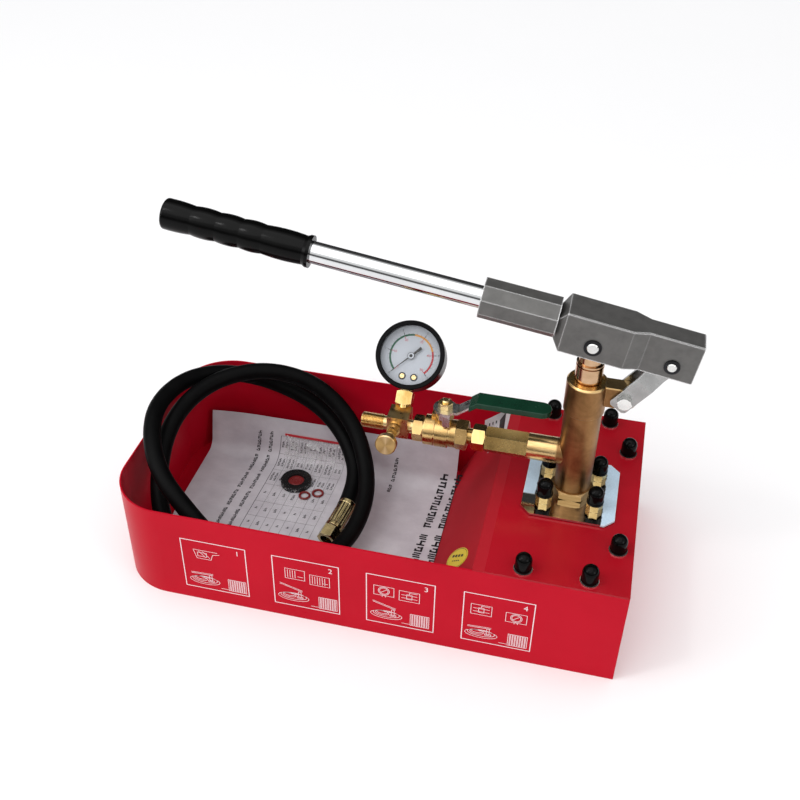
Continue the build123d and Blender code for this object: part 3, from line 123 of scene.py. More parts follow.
def arc(centre, radius, fromTurn, toTurn, count, squash=1.0):
    t = np.radians(np.linspace(fromTurn, toTurn, count))
    return np.stack([centre[0] + radius * np.cos(t), centre[1] + squash * radius * np.sin(t)], axis=1)


def placed(part, origin, across, up, lift=0.0):
    # puts a flat part into space: origin + x across + y up + lift along their normal
    x, y, z = np.split(np.asarray(part[0], float), 3, axis=1)
    return origin + x * across + y * up + (z + lift) * np.cross(across, up), part[1]


def aroundAxis(origin, axis, side, up, s, t, radius):
    # a surface round an axis: its distances s along it, turns t round it and a radius for each of both
    across = np.cos(t)[None, :, None] * side + np.sin(t)[None, :, None] * up
    points = origin + s[:, None, None] * axis + radius[..., None] * across
    return points, gridFaces(len(s), len(t), closeColumns=True)


def lettering(text, size, origin, across, up, lift):
    # numbers made a flat mesh by Blender's own font, centred on the origin
    curve = bpy.data.curves.new("number", "FONT")
    curve.body = text
    curve.size = size * mm
    curve.align_x = curve.align_y = "CENTER"
    holder = newObject("number", curve)
    mesh = bpy.data.meshes.new_from_object(holder)
    mesh.calc_loop_triangles()
    flat = np.empty(len(mesh.vertices) * 3, dtype=np.float32)
    mesh.vertices.foreach_get("co", flat)
    tris = np.empty(len(mesh.loop_triangles) * 3, dtype=np.int32)
    mesh.loop_triangles.foreach_get("vertices", tris)
    bpy.data.objects.remove(holder)
    return placed((flat.reshape(-1, 3) / mm, tris.reshape(-1, 3)), origin, across, up, lift)


# materials; each maker puts its finish into this table under its own name

finishes = {}
# the node tree that is being built: newFinish and makeWorld set it, and the functions below add to it
building = {"tree": None}


def newFinish(name):
    finish = bpy.data.materials.new(name)
    finish.use_nodes = True
    finishes[name] = finish
    building["tree"] = finish.node_tree
    return finish.node_tree.nodes["Principled BSDF"]


def feed(node, inputs):
    # each value is a socket to link or a plain value to set; a colour gets its fourth number here
    for key, value in inputs.items():
        socket = node.inputs[key]
        if isinstance(value, bpy.types.NodeSocket):
            building["tree"].links.new(value, socket)
        else:
            socket.default_value = (*value, 1) if socket.type == "RGBA" else value


def coat(shader, colour, roughness, metallic=0.0, shine=0.5):
    feed(shader, {
        "Base Color": colour, "Roughness": roughness, "Metallic": metallic, "Specular IOR Level": shine})


def newNode(kind, inputs=None):
    node = building["tree"].nodes.new(kind)
    feed(node, inputs or {})
    return node


def objectPoint(scale=(1, 1, 1), turn=(0, 0, 0)):
    coordinates = newNode("ShaderNodeTexCoord")
    return newNode("ShaderNodeMapping", {
        "Vector": coordinates.outputs["Object"], "Scale": scale,
        "Rotation": [radians(t) for t in turn]}).outputs["Vector"]


def noise(vector, scale, detail, roughness, distortion=0.0):
    return newNode("ShaderNodeTexNoise", {
        "Vector": vector, "Scale": scale, "Detail": detail, "Roughness": roughness,
        "Distortion": distortion}).outputs["Fac"]


def ramp(factor, stops):
    node = newNode("ShaderNodeValToRGB", {"Fac": factor})
    elements = node.color_ramp.elements
    while len(elements) < len(stops):
        elements.new(0.5)
    for element, (place, colour) in zip(elements, stops):
        element.position = place
        element.color = (*colour, 1)
    return node.outputs["Color"]


def grey(value):
    return (value, value, value)


def mapTo(factor, low, high, fromLow=0.0, fromHigh=1.0):
    return newNode("ShaderNodeMapRange", {
        "Value": factor, "From Min": fromLow, "From Max": fromHigh, "To Min": low,
        "To Max": high}).outputs["Result"]


def mixColour(factor, first, second, mode="MIX"):
    node = newNode("ShaderNodeMix")
    node.data_type = "RGBA"
    node.blend_type = mode
    feed(node, {"Factor": factor, "A": first, "B": second})
    return node.outputs["Result"]


def maths(operation, first, second=0.0, kind="ShaderNodeMath"):
    node = newNode(kind)
    node.operation = operation
    feed(node, {0: first, 1: second})
    return node.outputs["Value"]


def times(first, second):
    return maths("MULTIPLY", first, second)


def axisParts(vector):
    node = newNode("ShaderNodeSeparateXYZ", {"Vector": vector})
    return node.outputs["X"], node.outputs["Y"], node.outputs["Z"]


def roughen(shader, height, strength, distance):
    bump = newNode("ShaderNodeBump", {"Height": height, "Strength": strength, "Distance": distance})
    feed(shader, {"Normal": bump.outputs["Normal"]})
    return bump


def bevelNormal(radius):
    bevel = newNode("ShaderNodeBevel", {"Radius": radius})
    bevel.samples = 4
    return bevel.outputs["Normal"]


def wornEdge(radius):
    # where the surface turns sharply, from the bevel's bent normal against the true one; the brighter edges
    # it gives are partly wear and partly a painted highlight
    geometry = newNode("ShaderNodeNewGeometry")
    likeness = maths("DOT_PRODUCT", bevelNormal(radius), geometry.outputs["Normal"], "ShaderNodeVectorMath")
    return mapTo(likeness, 1.0, 0.0, 0.75, 0.995)


def makePaint(name, colour, darker, roughness, shine, edge, matt=None):
    # matt, where given: left of this x and below this height, in metres, the paint mirrors almost nothing
    shader = newFinish(name)
    point = objectPoint()
    bump = roughen(shader, noise(point, 420, 2, 0.5), 0.06, 0.0004)
    feed(bump, {"Normal": bevelNormal(edge)})
    rough = mapTo(noise(point, 30, 4, 0.6), roughness * 0.75, roughness * 1.3)
    if matt:
        x, _, z = axisParts(point)
        left, low = (mapTo(axis, 1.0, 0.0, end, end + 0.0008) for axis, end in zip((x, z), matt))
        rough = maths("MAXIMUM", rough, times(times(left, low), 0.8))
    cloud = ramp(noise(point, 14, 3, 0.5), [(0.3, darker), (0.7, colour)])
    coat(shader, cloud, rough, shine=shine)


def makeMetal(name, light, dark, roughness, spread, grain, edge=None, stretch=(1, 1, 1), turn=(0, 0, 0),
              strength=0.12, clouds=35, metallic=1.0, edgeRadius=0.0006):
    # metal with clouded colour, brushed or cast grain and, where edge is a colour, brighter edges: partly
    # wear, partly a painted highlight
    shader = newFinish(name)
    point = objectPoint()
    colour = ramp(noise(point, clouds, 5, 0.6, 0.3), [(0.32, dark), (0.62, light)])
    if edge:
        colour = mixColour(wornEdge(edgeRadius), colour, edge)
    roughen(shader, noise(objectPoint(stretch, turn), grain, 4, 0.65), strength, 0.0002)
    spots = noise(point, clouds * 3, 4, 0.6)
    coat(shader, colour, mapTo(spots, roughness - spread, roughness + spread, 0.3, 0.7), metallic)


def makeRubber(name, colour, lighter, roughness, grain, strength, shine=0.5):
    shader = newFinish(name)
    point = objectPoint()
    cloud = noise(point, 60, 4, 0.6)
    roughen(shader, noise(point, grain, 3, 0.6), strength, 0.0002)
    coat(shader, ramp(cloud, [(0.35, colour), (0.75, lighter)]),
         mapTo(cloud, roughness * 0.85, roughness * 1.15), shine=shine)


def makeBronze(name, v):
    # cast bronze: dark and mottled, with the side boss, the top lip and the flange turned smooth and bright
    shader = newFinish(name)
    point = objectPoint()
    x, y, z = axisParts(point)
    wide = noise(point, 30, 6, 0.65, 0.6)
    fine = noise(point, 260, 4, 0.6)
    cast = ramp(wide, [(0.3, v["stain"]), (0.5, v["cast"]), (0.72, v["warm"])])
    cast = mixColour(times(fine, 0.55), cast, v["fleck"], "MULTIPLY")
    boss = mapTo(x, 1.0, 0.0, v["bossX"], v["bossX"] + 0.002)
    flange = mapTo(z, 1.0, 0.0, v["flangeZ"], v["flangeZ"] + 0.001)
    lip = mapTo(z, 0.0, 1.0, v["lipZ"], v["lipZ"] + 0.001)
    smooth = maths("MAXIMUM", maths("MAXIMUM", boss, times(flange, 0.55)), lip)
    lathe = noise(objectPoint((1, 1, 9)), 60, 4, 0.6)
    turned = ramp(lathe, [(0.3, v["turnedDark"]), (0.7, v["turned"])])
    colour = mixColour(smooth, cast, turned)
    # brighter edges, partly wear and partly a painted highlight
    colour = mixColour(times(wornEdge(0.0007), 0.6), colour, v["edge"])
    roughen(shader, fine, 0.16, 0.0003)
    coat(shader, colour, maths("SUBTRACT", mapTo(wide, 0.3, 0.46), times(smooth, 0.13)), 1.0)


def makeTurned(name, light, dark, roughness, pitch):
    # turned metal: fine rings round an upright axis, from the height
    shader = newFinish(name)
    point = objectPoint()
    rings = maths("SINE", times(axisParts(point)[2], 2 * pi / pitch))
    cloud = noise(point, 55, 5, 0.6, 0.4)
    roughen(shader, rings, 0.05, 0.0001)
    coat(shader, ramp(cloud, [(0.3, dark), (0.65, light)]),
         mapTo(cloud, roughness * 0.8, roughness * 1.25), 1.0)


def makeFaced(name, v):
    # metal faced on a lathe: rings by distance from the screw's axis, and a painted highlight: a bright fan
    # across the face
    shader = newFinish(name)
    point = objectPoint()
    own = newNode("ShaderNodeMapping")
    own.vector_type = "TEXTURE"
    feed(own, {
        "Vector": point, "Location": [c * mm for c in v["centre"]], "Rotation": (radians(v["turn"]), 0, 0)})
    across, up, _ = axisParts(own.outputs["Vector"])
    away = maths("SQRT", maths("ADD", times(across, across), times(up, up)))
    rings = maths("SINE", times(away, 2 * pi / v["pitch"]))
    highlightFan = maths("ABSOLUTE", maths("SINE", maths("ARCTAN2", across, up)))
    face = mixColour(mapTo(highlightFan, 1.0, 0.0, 0.0, 0.55), v["dark"], v["light"])
    cloud = noise(point, 300, 4, 0.6)
    roughen(shader, rings, 0.35, 0.0001)
    coat(shader, mixColour(times(cloud, 0.35), face, v["stain"]), mapTo(cloud, 0.26, 0.4), 1.0)


def makePlateFinish(name, v):
    # polished plate with strips of pale film left on towards both ends
    shader = newFinish(name)
    point = objectPoint()
    x, y, z = axisParts(point)
    ragged = times(maths("SUBTRACT", noise(point, 130, 3, 0.6), 0.5), 0.004)
    edgeX = maths("ADD", x, ragged)
    left = mapTo(edgeX, 1.0, 0.0, v["leftFilm"], v["leftFilm"] + 0.0006)
    right = mapTo(edgeX, 0.0, 1.0, v["rightFilm"], v["rightFilm"] + 0.0006)
    frontEnd = mapTo(y, 0.0, 1.0, v["front"] - 0.001, v["front"] + 0.001)
    film = times(maths("MAXIMUM", left, right), maths("MAXIMUM", frontEnd, right))
    speck = noise(point, 900, 3, 0.7)
    filmColour = ramp(speck, [(0.35, v["filmDark"]), (0.6, v["film"])])
    brushed = noise(objectPoint((1, 12, 1)), 40, 4, 0.6)
    metal = ramp(brushed, [(0.3, v["metalDark"]), (0.7, v["metal"])])
    # the plate's near-white edges are a painted highlight
    colour = mixColour(wornEdge(0.0009), mixColour(film, metal, filmColour), v["edge"])
    roughen(shader, speck, 0.03, 0.0001)
    coat(shader, colour, mapTo(film, 0.07, 0.42), maths("SUBTRACT", 1.0, film))


def makePrinted(name, colour, darker, roughness):
    shader = newFinish(name)
    patch = noise(objectPoint(), 700, 3, 0.6)
    coat(shader, ramp(patch, [(0.3, darker), (0.6, colour)]), roughness, shine=0.22)


def makeClear(name, tint, roughness, alpha):
    shader = newFinish(name)
    patch = noise(objectPoint(), 90, 3, 0.5)
    feed(shader, {
        "Base Color": ramp(patch, [(0.3, [0.94 * c for c in tint]), (0.7, tint)]),
        "Roughness": roughness, "Alpha": alpha, "IOR": 1.45})


# paints: colour, darker patches, roughness, mirror strength, rounding of the edges in metres, matt zone
paints = {
    "tankPaint": ((0.52, 0.004, 0.019), (0.47, 0.003, 0.016), 0.32, 0.07, 0.0009),
    "deckPaint": ((0.42, 0.006, 0.016), (0.35, 0.005, 0.012), 0.2, 0.24, 0.0009, (0.118, 0.1105)),
    "gaugePaint": ((0.004, 0.004, 0.005), grey(0.002), 0.2, 0.06, 0.0006),
}

# metals: light and dark colour, roughness and its spread, grain per metre, colour of the edges, partly wear
# and partly painted highlight
metals = {
    "zincBright": ((0.8, 0.8, 0.78), (0.58, 0.58, 0.57), 0.24, 0.07, 300, (0.92, 0.92, 0.9)),
    "zincPlate": ((0.38, 0.38, 0.375), (0.28, 0.28, 0.275), 0.28, 0.08, 500, (0.9, 0.9, 0.88)),
    "steelHandle": ((0.78, 0.78, 0.76), (0.5, 0.5, 0.49), 0.26, 0.08, 260, (0.95, 0.95, 0.92)),
    "nutBrass": ((0.78, 0.58, 0.28), (0.52, 0.36, 0.14), 0.24, 0.07, 300, (0.95, 0.82, 0.52)),
    "lockNutBrass": ((0.86, 0.64, 0.28), (0.58, 0.38, 0.13), 0.17, 0.05, 240, (0.98, 0.86, 0.52)),
    "gaugeBrass": ((0.74, 0.54, 0.24), (0.46, 0.29, 0.09), 0.22, 0.07, 240, (0.95, 0.8, 0.46)),
    "clipSteel": ((0.035, 0.035, 0.038), (0.015, 0.015, 0.016), 0.35, 0.08, 400),
}

# rubbers and plastics: colour, lighter patches, roughness, grain per metre, its strength, mirror strength
rubbers = {
    "capPlastic": (grey(0.0015), grey(0.003), 0.08, 900, 0.03, 0.08),
    "gasketRubber": ((0.05, 0.012, 0.012), (0.11, 0.03, 0.03), 0.7, 600, 0.2),
    "hoseRubber": ((0.0014, 0.0014, 0.0016), grey(0.003), 0.5, 1500, 0.25, 0.06),
    "gripRubber": (grey(0.0012), grey(0.0022), 0.2, 1800, 0.08, 0.11),
    "sleeveVinyl": ((0.002, 0.03, 0.014), (0.004, 0.044, 0.021), 0.26, 700, 0.06, 0.34),
    "stripPlastic": ((0.45, 0.02, 0.03), (0.58, 0.05, 0.06), 0.35, 500, 0.1),
    "ringRubber": ((0.16, 0.008, 0.008), (0.24, 0.02, 0.02), 0.36, 700, 0.1, 0.3),
    "sealRubber": (grey(0.003), grey(0.007), 0.3, 700, 0.1, 0.14),
}

# inks, prints and plain seals: colour, darker patches, roughness
prints = {
    "dialPrint": ((0.52, 0.55, 0.6), (0.49, 0.52, 0.57), 0.45),
    "softSeal": ((0.85, 0.85, 0.83), (0.78, 0.78, 0.76), 0.4),
    "labelWhite": ((0.72, 0.71, 0.72), (0.64, 0.63, 0.64), 0.4),
    "inkWhite": ((0.9, 0.78, 0.8), (0.8, 0.66, 0.69), 0.5),
    "inkBlack": (grey(0.015), grey(0.03), 0.5),
    "printInk": ((0.01, 0.008, 0.01), (0.02, 0.017, 0.02), 0.6),
    "ruleInk": ((0.1, 0.09, 0.1), (0.16, 0.15, 0.16), 0.5),
    "inkRed": ((0.5, 0.015, 0.03), (0.42, 0.012, 0.02), 0.5),
    "inkGreen": ((0.006, 0.1, 0.045), (0.005, 0.08, 0.04), 0.5),
    "inkAmber": ((0.72, 0.33, 0.05), (0.62, 0.27, 0.04), 0.5),
    "inkYellow": ((0.8, 0.62, 0.015), (0.7, 0.52, 0.012), 0.35),
}
for makeOne, finishTable in (
        (makePaint, paints), (makeMetal, metals), (makeRubber, rubbers), (makePrinted, prints)):
    for finishName, finishValues in finishTable.items():
        makeOne(finishName, *finishValues)

makeMetal("pipeBrass", (0.72, 0.47, 0.16), (0.42, 0.24, 0.07), 0.25, 0.08, 220, (0.93, 0.74, 0.38),
          stretch=(6, 1, 1), strength=0.08)
makeMetal("couplingBrass", (0.6, 0.4, 0.15), (0.38, 0.23, 0.07), 0.27, 0.08, 200, (0.86, 0.66, 0.32),
          stretch=(5, 1, 1), strength=0.1)
makeMetal("manifoldBrass", (0.82, 0.6, 0.3), (0.56, 0.39, 0.17), 0.3, 0.07, 200, (0.9, 0.7, 0.36),
          stretch=(5, 1, 1), strength=0.1)
makeMetal("valveBrass", (0.7, 0.46, 0.19), (0.34, 0.2, 0.07), 0.28, 0.09, 400, (0.92, 0.72, 0.36),
          strength=0.2)
makeMetal("yellowZinc", (0.45, 0.35, 0.17), (0.25, 0.19, 0.09), 0.22, 0.08, 260, (0.93, 0.84, 0.62),
          clouds=110)
makeMetal("tubeChrome", (0.76, 0.77, 0.78), (0.68, 0.69, 0.7), 0.075, 0.03, 180, None,
          stretch=(0.05, 1, 1), turn=(0, 8.2, 0), strength=0.02, clouds=20)
# the lever head's white edges are a painted highlight along its top and front edges
makeMetal("headCasting", (0.128, 0.125, 0.12), (0.1, 0.098, 0.094), 0.4, 0.05, 700, grey(1.0),
          stretch=(0.3, 1, 1), turn=(0, 8.2, 0), strength=0.1, clouds=90, metallic=0.45, edgeRadius=0.0018)
makeTurned("pistonChrome", (0.64, 0.43, 0.27), (0.42, 0.26, 0.14), 0.13, 0.0011)
makeFaced("knobBrass", {
    "centre": (9.8, 0.0, 156.5), "turn": 77.0, "pitch": 0.0008, "light": (0.84, 0.62, 0.34),
    "dark": (0.5, 0.32, 0.13), "stain": (0.3, 0.17, 0.06)})
makeBronze("pumpBronze", {
    "bossX": 0.1615, "flangeZ": 0.12, "lipZ": 0.2395, "stain": (0.13, 0.065, 0.024),
    "cast": (0.27, 0.145, 0.058), "warm": (0.4, 0.22, 0.092), "fleck": (0.6, 0.53, 0.45),
    "turned": (0.8, 0.56, 0.27), "turnedDark": (0.5, 0.31, 0.12), "edge": (0.8, 0.56, 0.26)})
makePlateFinish("plateFinish", {
    "leftFilm": 0.1487, "rightFilm": 0.2124, "front": -0.0165, "film": (0.6, 0.76, 0.9),
    "filmDark": (0.48, 0.63, 0.76), "metal": (0.66, 0.65, 0.6), "metalDark": (0.52, 0.51, 0.46),
    "edge": (0.97, 0.97, 0.96)})
makeClear("lensGlass", (0.96, 0.98, 0.98), 0.03, 0.03)
makeClear("bagFilm", (0.9, 0.9, 0.94), 0.1, 0.13)

# each finish with the nodes that take it
nodesOfFinish = {
    "tankPaint": "tank", "deckPaint": "deck", "gaugePaint": "gauge_case gauge_bezel",
    "zincBright": "deck_bolts deck_washers deck_nuts plate_bolts delivery_spring valve_packing_nut "
                  "piston_pin link_pin link_bolt",
    "zincPlate": "link_plates", "clipSteel": "pin_clips", "steelHandle": "valve_handle",
    "nutBrass": "plate_nuts valve_stem valve_handle_nut gauge_dial_screws",
    "pipeBrass": "gland_ring suction_fitting suction_tube gauge_movement gauge_bourdon_tube",
    "couplingBrass": "delivery_coupling", "lockNutBrass": "coupling_lock_nut",
    "valveBrass": "valve_body valve_end", "manifoldBrass": "manifold", "knobBrass": "bleed_screw",
    "gaugeBrass": "gauge_socket", "pumpBronze": "pump_body", "plateFinish": "base_plate",
    "pistonChrome": "piston",
    "tubeChrome": "suction_ball delivery_ball valve_ball lever_tube", "headCasting": "lever_head",
    "yellowZinc": "hose_nut_near hose_nut_far", "capPlastic": "deck_caps plate_caps suction_strainer",
    "gasketRubber": "base_gasket", "softSeal": "gland_seal valve_seats", "sleeveVinyl": "valve_handle_sleeve",
    "gripRubber": "lever_grip", "dialPrint": "gauge_dial", "lensGlass": "gauge_lens",
    "inkBlack": "gauge_needle", "sealRubber": "spare_seal", "ringRubber": "spare_o_rings",
    "stripPlastic": "parts_bag_strip", "bagFilm": "parts_bag",
}
for finishName, nodeNames in nodesOfFinish.items():
    for nodeName in nodeNames.split():
        for materialSlot in nodes[nodeName].material_slots:
            materialSlot.material = finishes[finishName]
print(len(finishes), "finishes given")


def dress(piece, finishName, body, replaced=()):
    piece.data.materials.clear()
    piece.data.materials.append(finishes[finishName])
    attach(piece, body)
    if replaced:
        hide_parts(*replaced)
    return piece


# camera, lights and floor

cameraSpot = {
    "place": (185.0, -764.0, 795.0), "azimuth": 12.71, "elevation": 37.86, "roll": 1.1, "lens": 47.75,
}


def makeCamera(spot):
    az, el, roll = (radians(spot[k]) for k in ("azimuth", "elevation", "roll"))
    forward = Vector((-sin(az) * cos(el), cos(az) * cos(el), -sin(el)))
    right = forward.cross(Vector((0, 0, 1))).normalized()
    up = right.cross(forward)
    turned = right * cos(roll) + up * sin(roll)
    upTurned = turned.cross(forward)
    data = bpy.data.cameras.new("photoCamera")
    data.lens = spot["lens"]
    data.sensor_width = 36
    data.sensor_fit = "HORIZONTAL"
    data.clip_start, data.clip_end = 0.01, 20
    camera = newObject("photoCamera", data)
    matrix = Matrix((turned, upTurned, -forward)).transposed().to_4x4()
    matrix.translation = [c * mm for c in spot["place"]]
    camera.matrix_world = matrix
    bpy.context.scene.camera = camera


makeCamera(cameraSpot)

# area lamps: place, point aimed at, size in metres, power in watts
lamps = {
    "leftSoft": ((-1.5, -0.9, 1.1), (0, 0, 0.15), 0.9, 7),
    "rightStrip": ((1.5, -0.9, 0.9), (0.1, 0, 0.15), 0.7, 4),
    "glint": ((-0.75, -0.7, 1.7), (0, 0, 0.15), 0.18, 2.6),
}
sunValues = {"strength": 1.15, "angle": 70.0, "turn": (18, -12, 0)}


def makeLamp(name, kind, power):
    light = bpy.data.lights.new(name, kind)
    light.energy = power
    return light, newObject(name, light)


sun, sunHolder = makeLamp("skySun", "SUN", sunValues["strength"])
sun.angle = radians(sunValues["angle"])
sunHolder.rotation_euler = [radians(t) for t in sunValues["turn"]]
for lampName, (lampPlace, lampAim, lampSize, lampPower) in lamps.items():
    lamp, lampHolder = makeLamp(lampName, "AREA", lampPower)
    lamp.size = lampSize
    lampHolder.location = lampPlace
    lampHolder.rotation_euler = (Vector(lampAim) - Vector(lampPlace)).to_track_quat("-Z", "Y").to_euler()


def makeWorld():
    # white to the camera and through glass; a soft room with a darker horizon in metal; plain light otherwise
    world = bpy.data.worlds.new("studio")
    bpy.context.scene.world = world
    world.use_nodes = True
    building["tree"] = world.node_tree
    mirrored = world.node_tree.nodes["Background"]
    path = newNode("ShaderNodeLightPath")
    coordinates = newNode("ShaderNodeTexCoord")
    _, y, z = axisParts(coordinates.outputs["Generated"])
    room = ramp(mapTo(z, 0.0, 1.0, -1.0, 1.0), [
        (0.0, grey(0.75)), (0.455, grey(0.8)), (0.498, grey(0.07)), (0.59, grey(0.12)), (0.67, grey(0.85)),
        (0.8, grey(1.0)), (1.0, grey(0.95))])
    # the room is dim behind the pump, less so higher up
    behind = maths("SUBTRACT", y, times(z, 0.5))
    dim = mapTo(behind, 1.0, 0.05, -0.15, 0.25)
    feed(mirrored, {"Color": mixColour(1.0, room, dim, "MULTIPLY"), "Strength": 1.0})
    white = newNode("ShaderNodeBackground", {"Color": grey(1.0)})
    plain = newNode("ShaderNodeBackground", {"Color": (0.62, 0.62, 0.63)})
    glossy = newNode("ShaderNodeMixShader", {
        "Fac": path.outputs["Is Glossy Ray"], 1: plain.outputs["Background"],
        2: mirrored.outputs["Background"]})
    direct = maths("MAXIMUM", path.outputs["Is Camera Ray"], path.outputs["Is Transmission Ray"])
    seen = newNode("ShaderNodeMixShader", {
        "Fac": direct, 1: glossy.outputs["Shader"], 2: white.outputs["Background"]})
    feed(world.node_tree.nodes["World Output"], {"Surface": seen.outputs["Shader"]})


makeWorld()

floorSize = {"half": 4000.0, "drop": 0.15}


def makeFloor(v):
    half, height = v["half"], -v["drop"]
    corners = [(-half, -half, height), (half, -half, height), (half, half, height), (-half, half, height)]
    floor = meshFrom("studioFloor", corners, [[0, 1, 2, 3]])
    shader = newFinish("floorPaper")
    tone = ramp(noise(objectPoint(), 3, 2, 0.5), [(0.0, grey(0.96)), (1.0, grey(0.975))])
    coat(shader, tone, 0.9, shine=0.1)
    floor.data.materials.append(finishes["floorPaper"])
    return floor


floor = makeFloor(floorSize)
bpy.context.scene.view_settings.view_transform = "Standard"
print("camera, lamps and floor ready")


# hose

hose = {
    "diameter": 17.5, "length": 1303.9,
    "route": [
        (-50, -6, 19.6), (-40, 42.5, 28.5), (-63, 87, 50), (-104, 112, 74.5),
        (-158, 112.5, 96.5), (-201, 93, 114), (-230, 57, 126), (-241.5, 11, 128),
        (-231.5, -34, 126), (-208, -73, 108), (-170, -94, 83), (-135, -107, 56),
        (-95, -101.5, 35), (-58.5, -77, 22.5), (-33, -39, 21), (-24, 6, 31),
        (-32, 50, 47), (-57.5, 88.5, 76), (-101, 105, 107), (-151, 98, 123),
        (-193.5, 73.5, 123.5), (-219, 38, 117.5), (-227, -7, 108), (-222, -49, 84),
        (-208, -82, 55), (-176, -103, 27), (-133, -110.5, 12.7), (-86, -110.5, 12.7)],
}


def makeHose(v):
    curve = bpy.data.curves.new("hoseCurve", "CURVE")
    curve.dimensions = "3D"
    spline = curve.splines.new("NURBS")
    spline.points.add(len(v["route"]) - 1)
    for spot, (x, y, z) in zip(spline.points, v["route"]):
        spot.co = (x * mm, y * mm, z * mm, 1)
    spline.order_u = 3
    spline.use_endpoint_u = True
    spline.resolution_u = 12
    curve.bevel_depth = v["diameter"] / 2 * mm
    curve.bevel_resolution = 8
    curve.use_fill_caps = True
    return newObject("hose_line", curve)


hosePiece = dress(makeHose(hose), "hoseRubber", "tank", ["hose"])

# crimped sleeve: radii, and its ends from the hose's end, backwards along the hose and out of it
ferrule = {
    "radius": 9.6, "ridges": 12, "ridgeDepth": 0.75, "waist": 0.35, "back": -25.0, "front": 11.0, "lip": 8.75,
    "mouth": 4.5,
}


def makeFerrules(v):
    # radius against length and turn: a plain collar at both ends, crimp ridges between, falling to the hose
    # at the back
    t = aroundTurn(v["ridges"] * 8)
    crimpStart, crimpEnd = 0.125, 0.885
    s = np.array([0, 0.01, 0.03, 0.05, 0.11, crimpStart, 0.15, 0.3, 0.5, 0.7, 0.86, crimpEnd, 0.9, 0.96,
                  0.985, 1, 1])
    crimp = np.clip(np.minimum(s - crimpStart, crimpEnd - s) / 0.03, 0, 1)
    full = v["radius"]
    base = np.full(len(s), full)
    base[:2] = v["lip"], full - 0.5
    base[-3:] = full - 0.1, full - 0.7, v["mouth"]
    wave = np.abs(np.sin(v["ridges"] * t / 2)) ** 0.6
    radius = base[:, None] - crimp[:, None] * (v["waist"] + v["ridgeDepth"] * (1 - wave)[None, :])
    along = v["back"] + s * (v["front"] - v["back"])
    route = np.array(hose["route"])
    parts = []
    for end, beside in ((route[0], route[1]), (route[-1], route[-2])):
        # three directions at the hose's end; away leads out of the hose
        away = (end - beside) / np.linalg.norm(end - beside)
        side = np.cross(away, (0, 0, 1.0))
        side /= np.linalg.norm(side)
        points, faces = aroundAxis(end, away, side, np.cross(side, away), along, t, radius)
        parts.append((points, faces[:, ::-1]))
    return joined("hose_ferrules_crimped", parts)


ferrulePiece = dress(makeFerrules(ferrule), "yellowZinc", "tank", ["hose_ferrules"])
print("hose laid")


# gauge face

gauge = {
    "branchX": 13.6, "pipeZ": 156.5, "reach": 66.0, "lean": 43.0, "dialTop": 4.3, "zero": 225.0,
    "sweep": 270.0, "arcRadius": 20.6, "arcWidth": 1.9, "greenEnd": 0.5, "amberEnd": 0.76, "majors": 5,
    "minors": 5, "tickIn": 20.9, "majorOut": 24.2, "minorOut": 22.6, "majorTick": 0.62, "minorTick": 0.3,
    "redLong": 2.6, "redGap": 0.4, "redTick": 0.5, "outerNumbers": 26.2, "outerSize": 3.0,
    "innerNumbers": 16.4, "innerSize": 3.4, "screwX": 5.7, "screwY": -19.9, "hubTop": 7.4,
    # rings: radius and line width
    "screwShadow": (2.9, 1.5), "hubRing": (2.3, 1.3), "hubDot": (0.75, 1.5),
}
lean = radians(gauge["lean"])
gaugeOut = np.array((0.0, sin(lean), cos(lean)))
gaugeCentre = np.array((gauge["branchX"], 0, gauge["pipeZ"])) + gauge["reach"] * gaugeOut
acrossDial = np.array((1.0, 0.0, 0.0))


def onDial(part, lift):
    return placed(part, gaugeCentre, acrossDial, gaugeOut, gauge["dialTop"] + lift)


def dialTurn(share):
    return gauge["zero"] - gauge["sweep"] * share


def ringOnDial(x, y, size, lift, count=36):
    return onDial(ribbon(arc((x, y), size[0], 0, 350, count), size[1], True), lift)


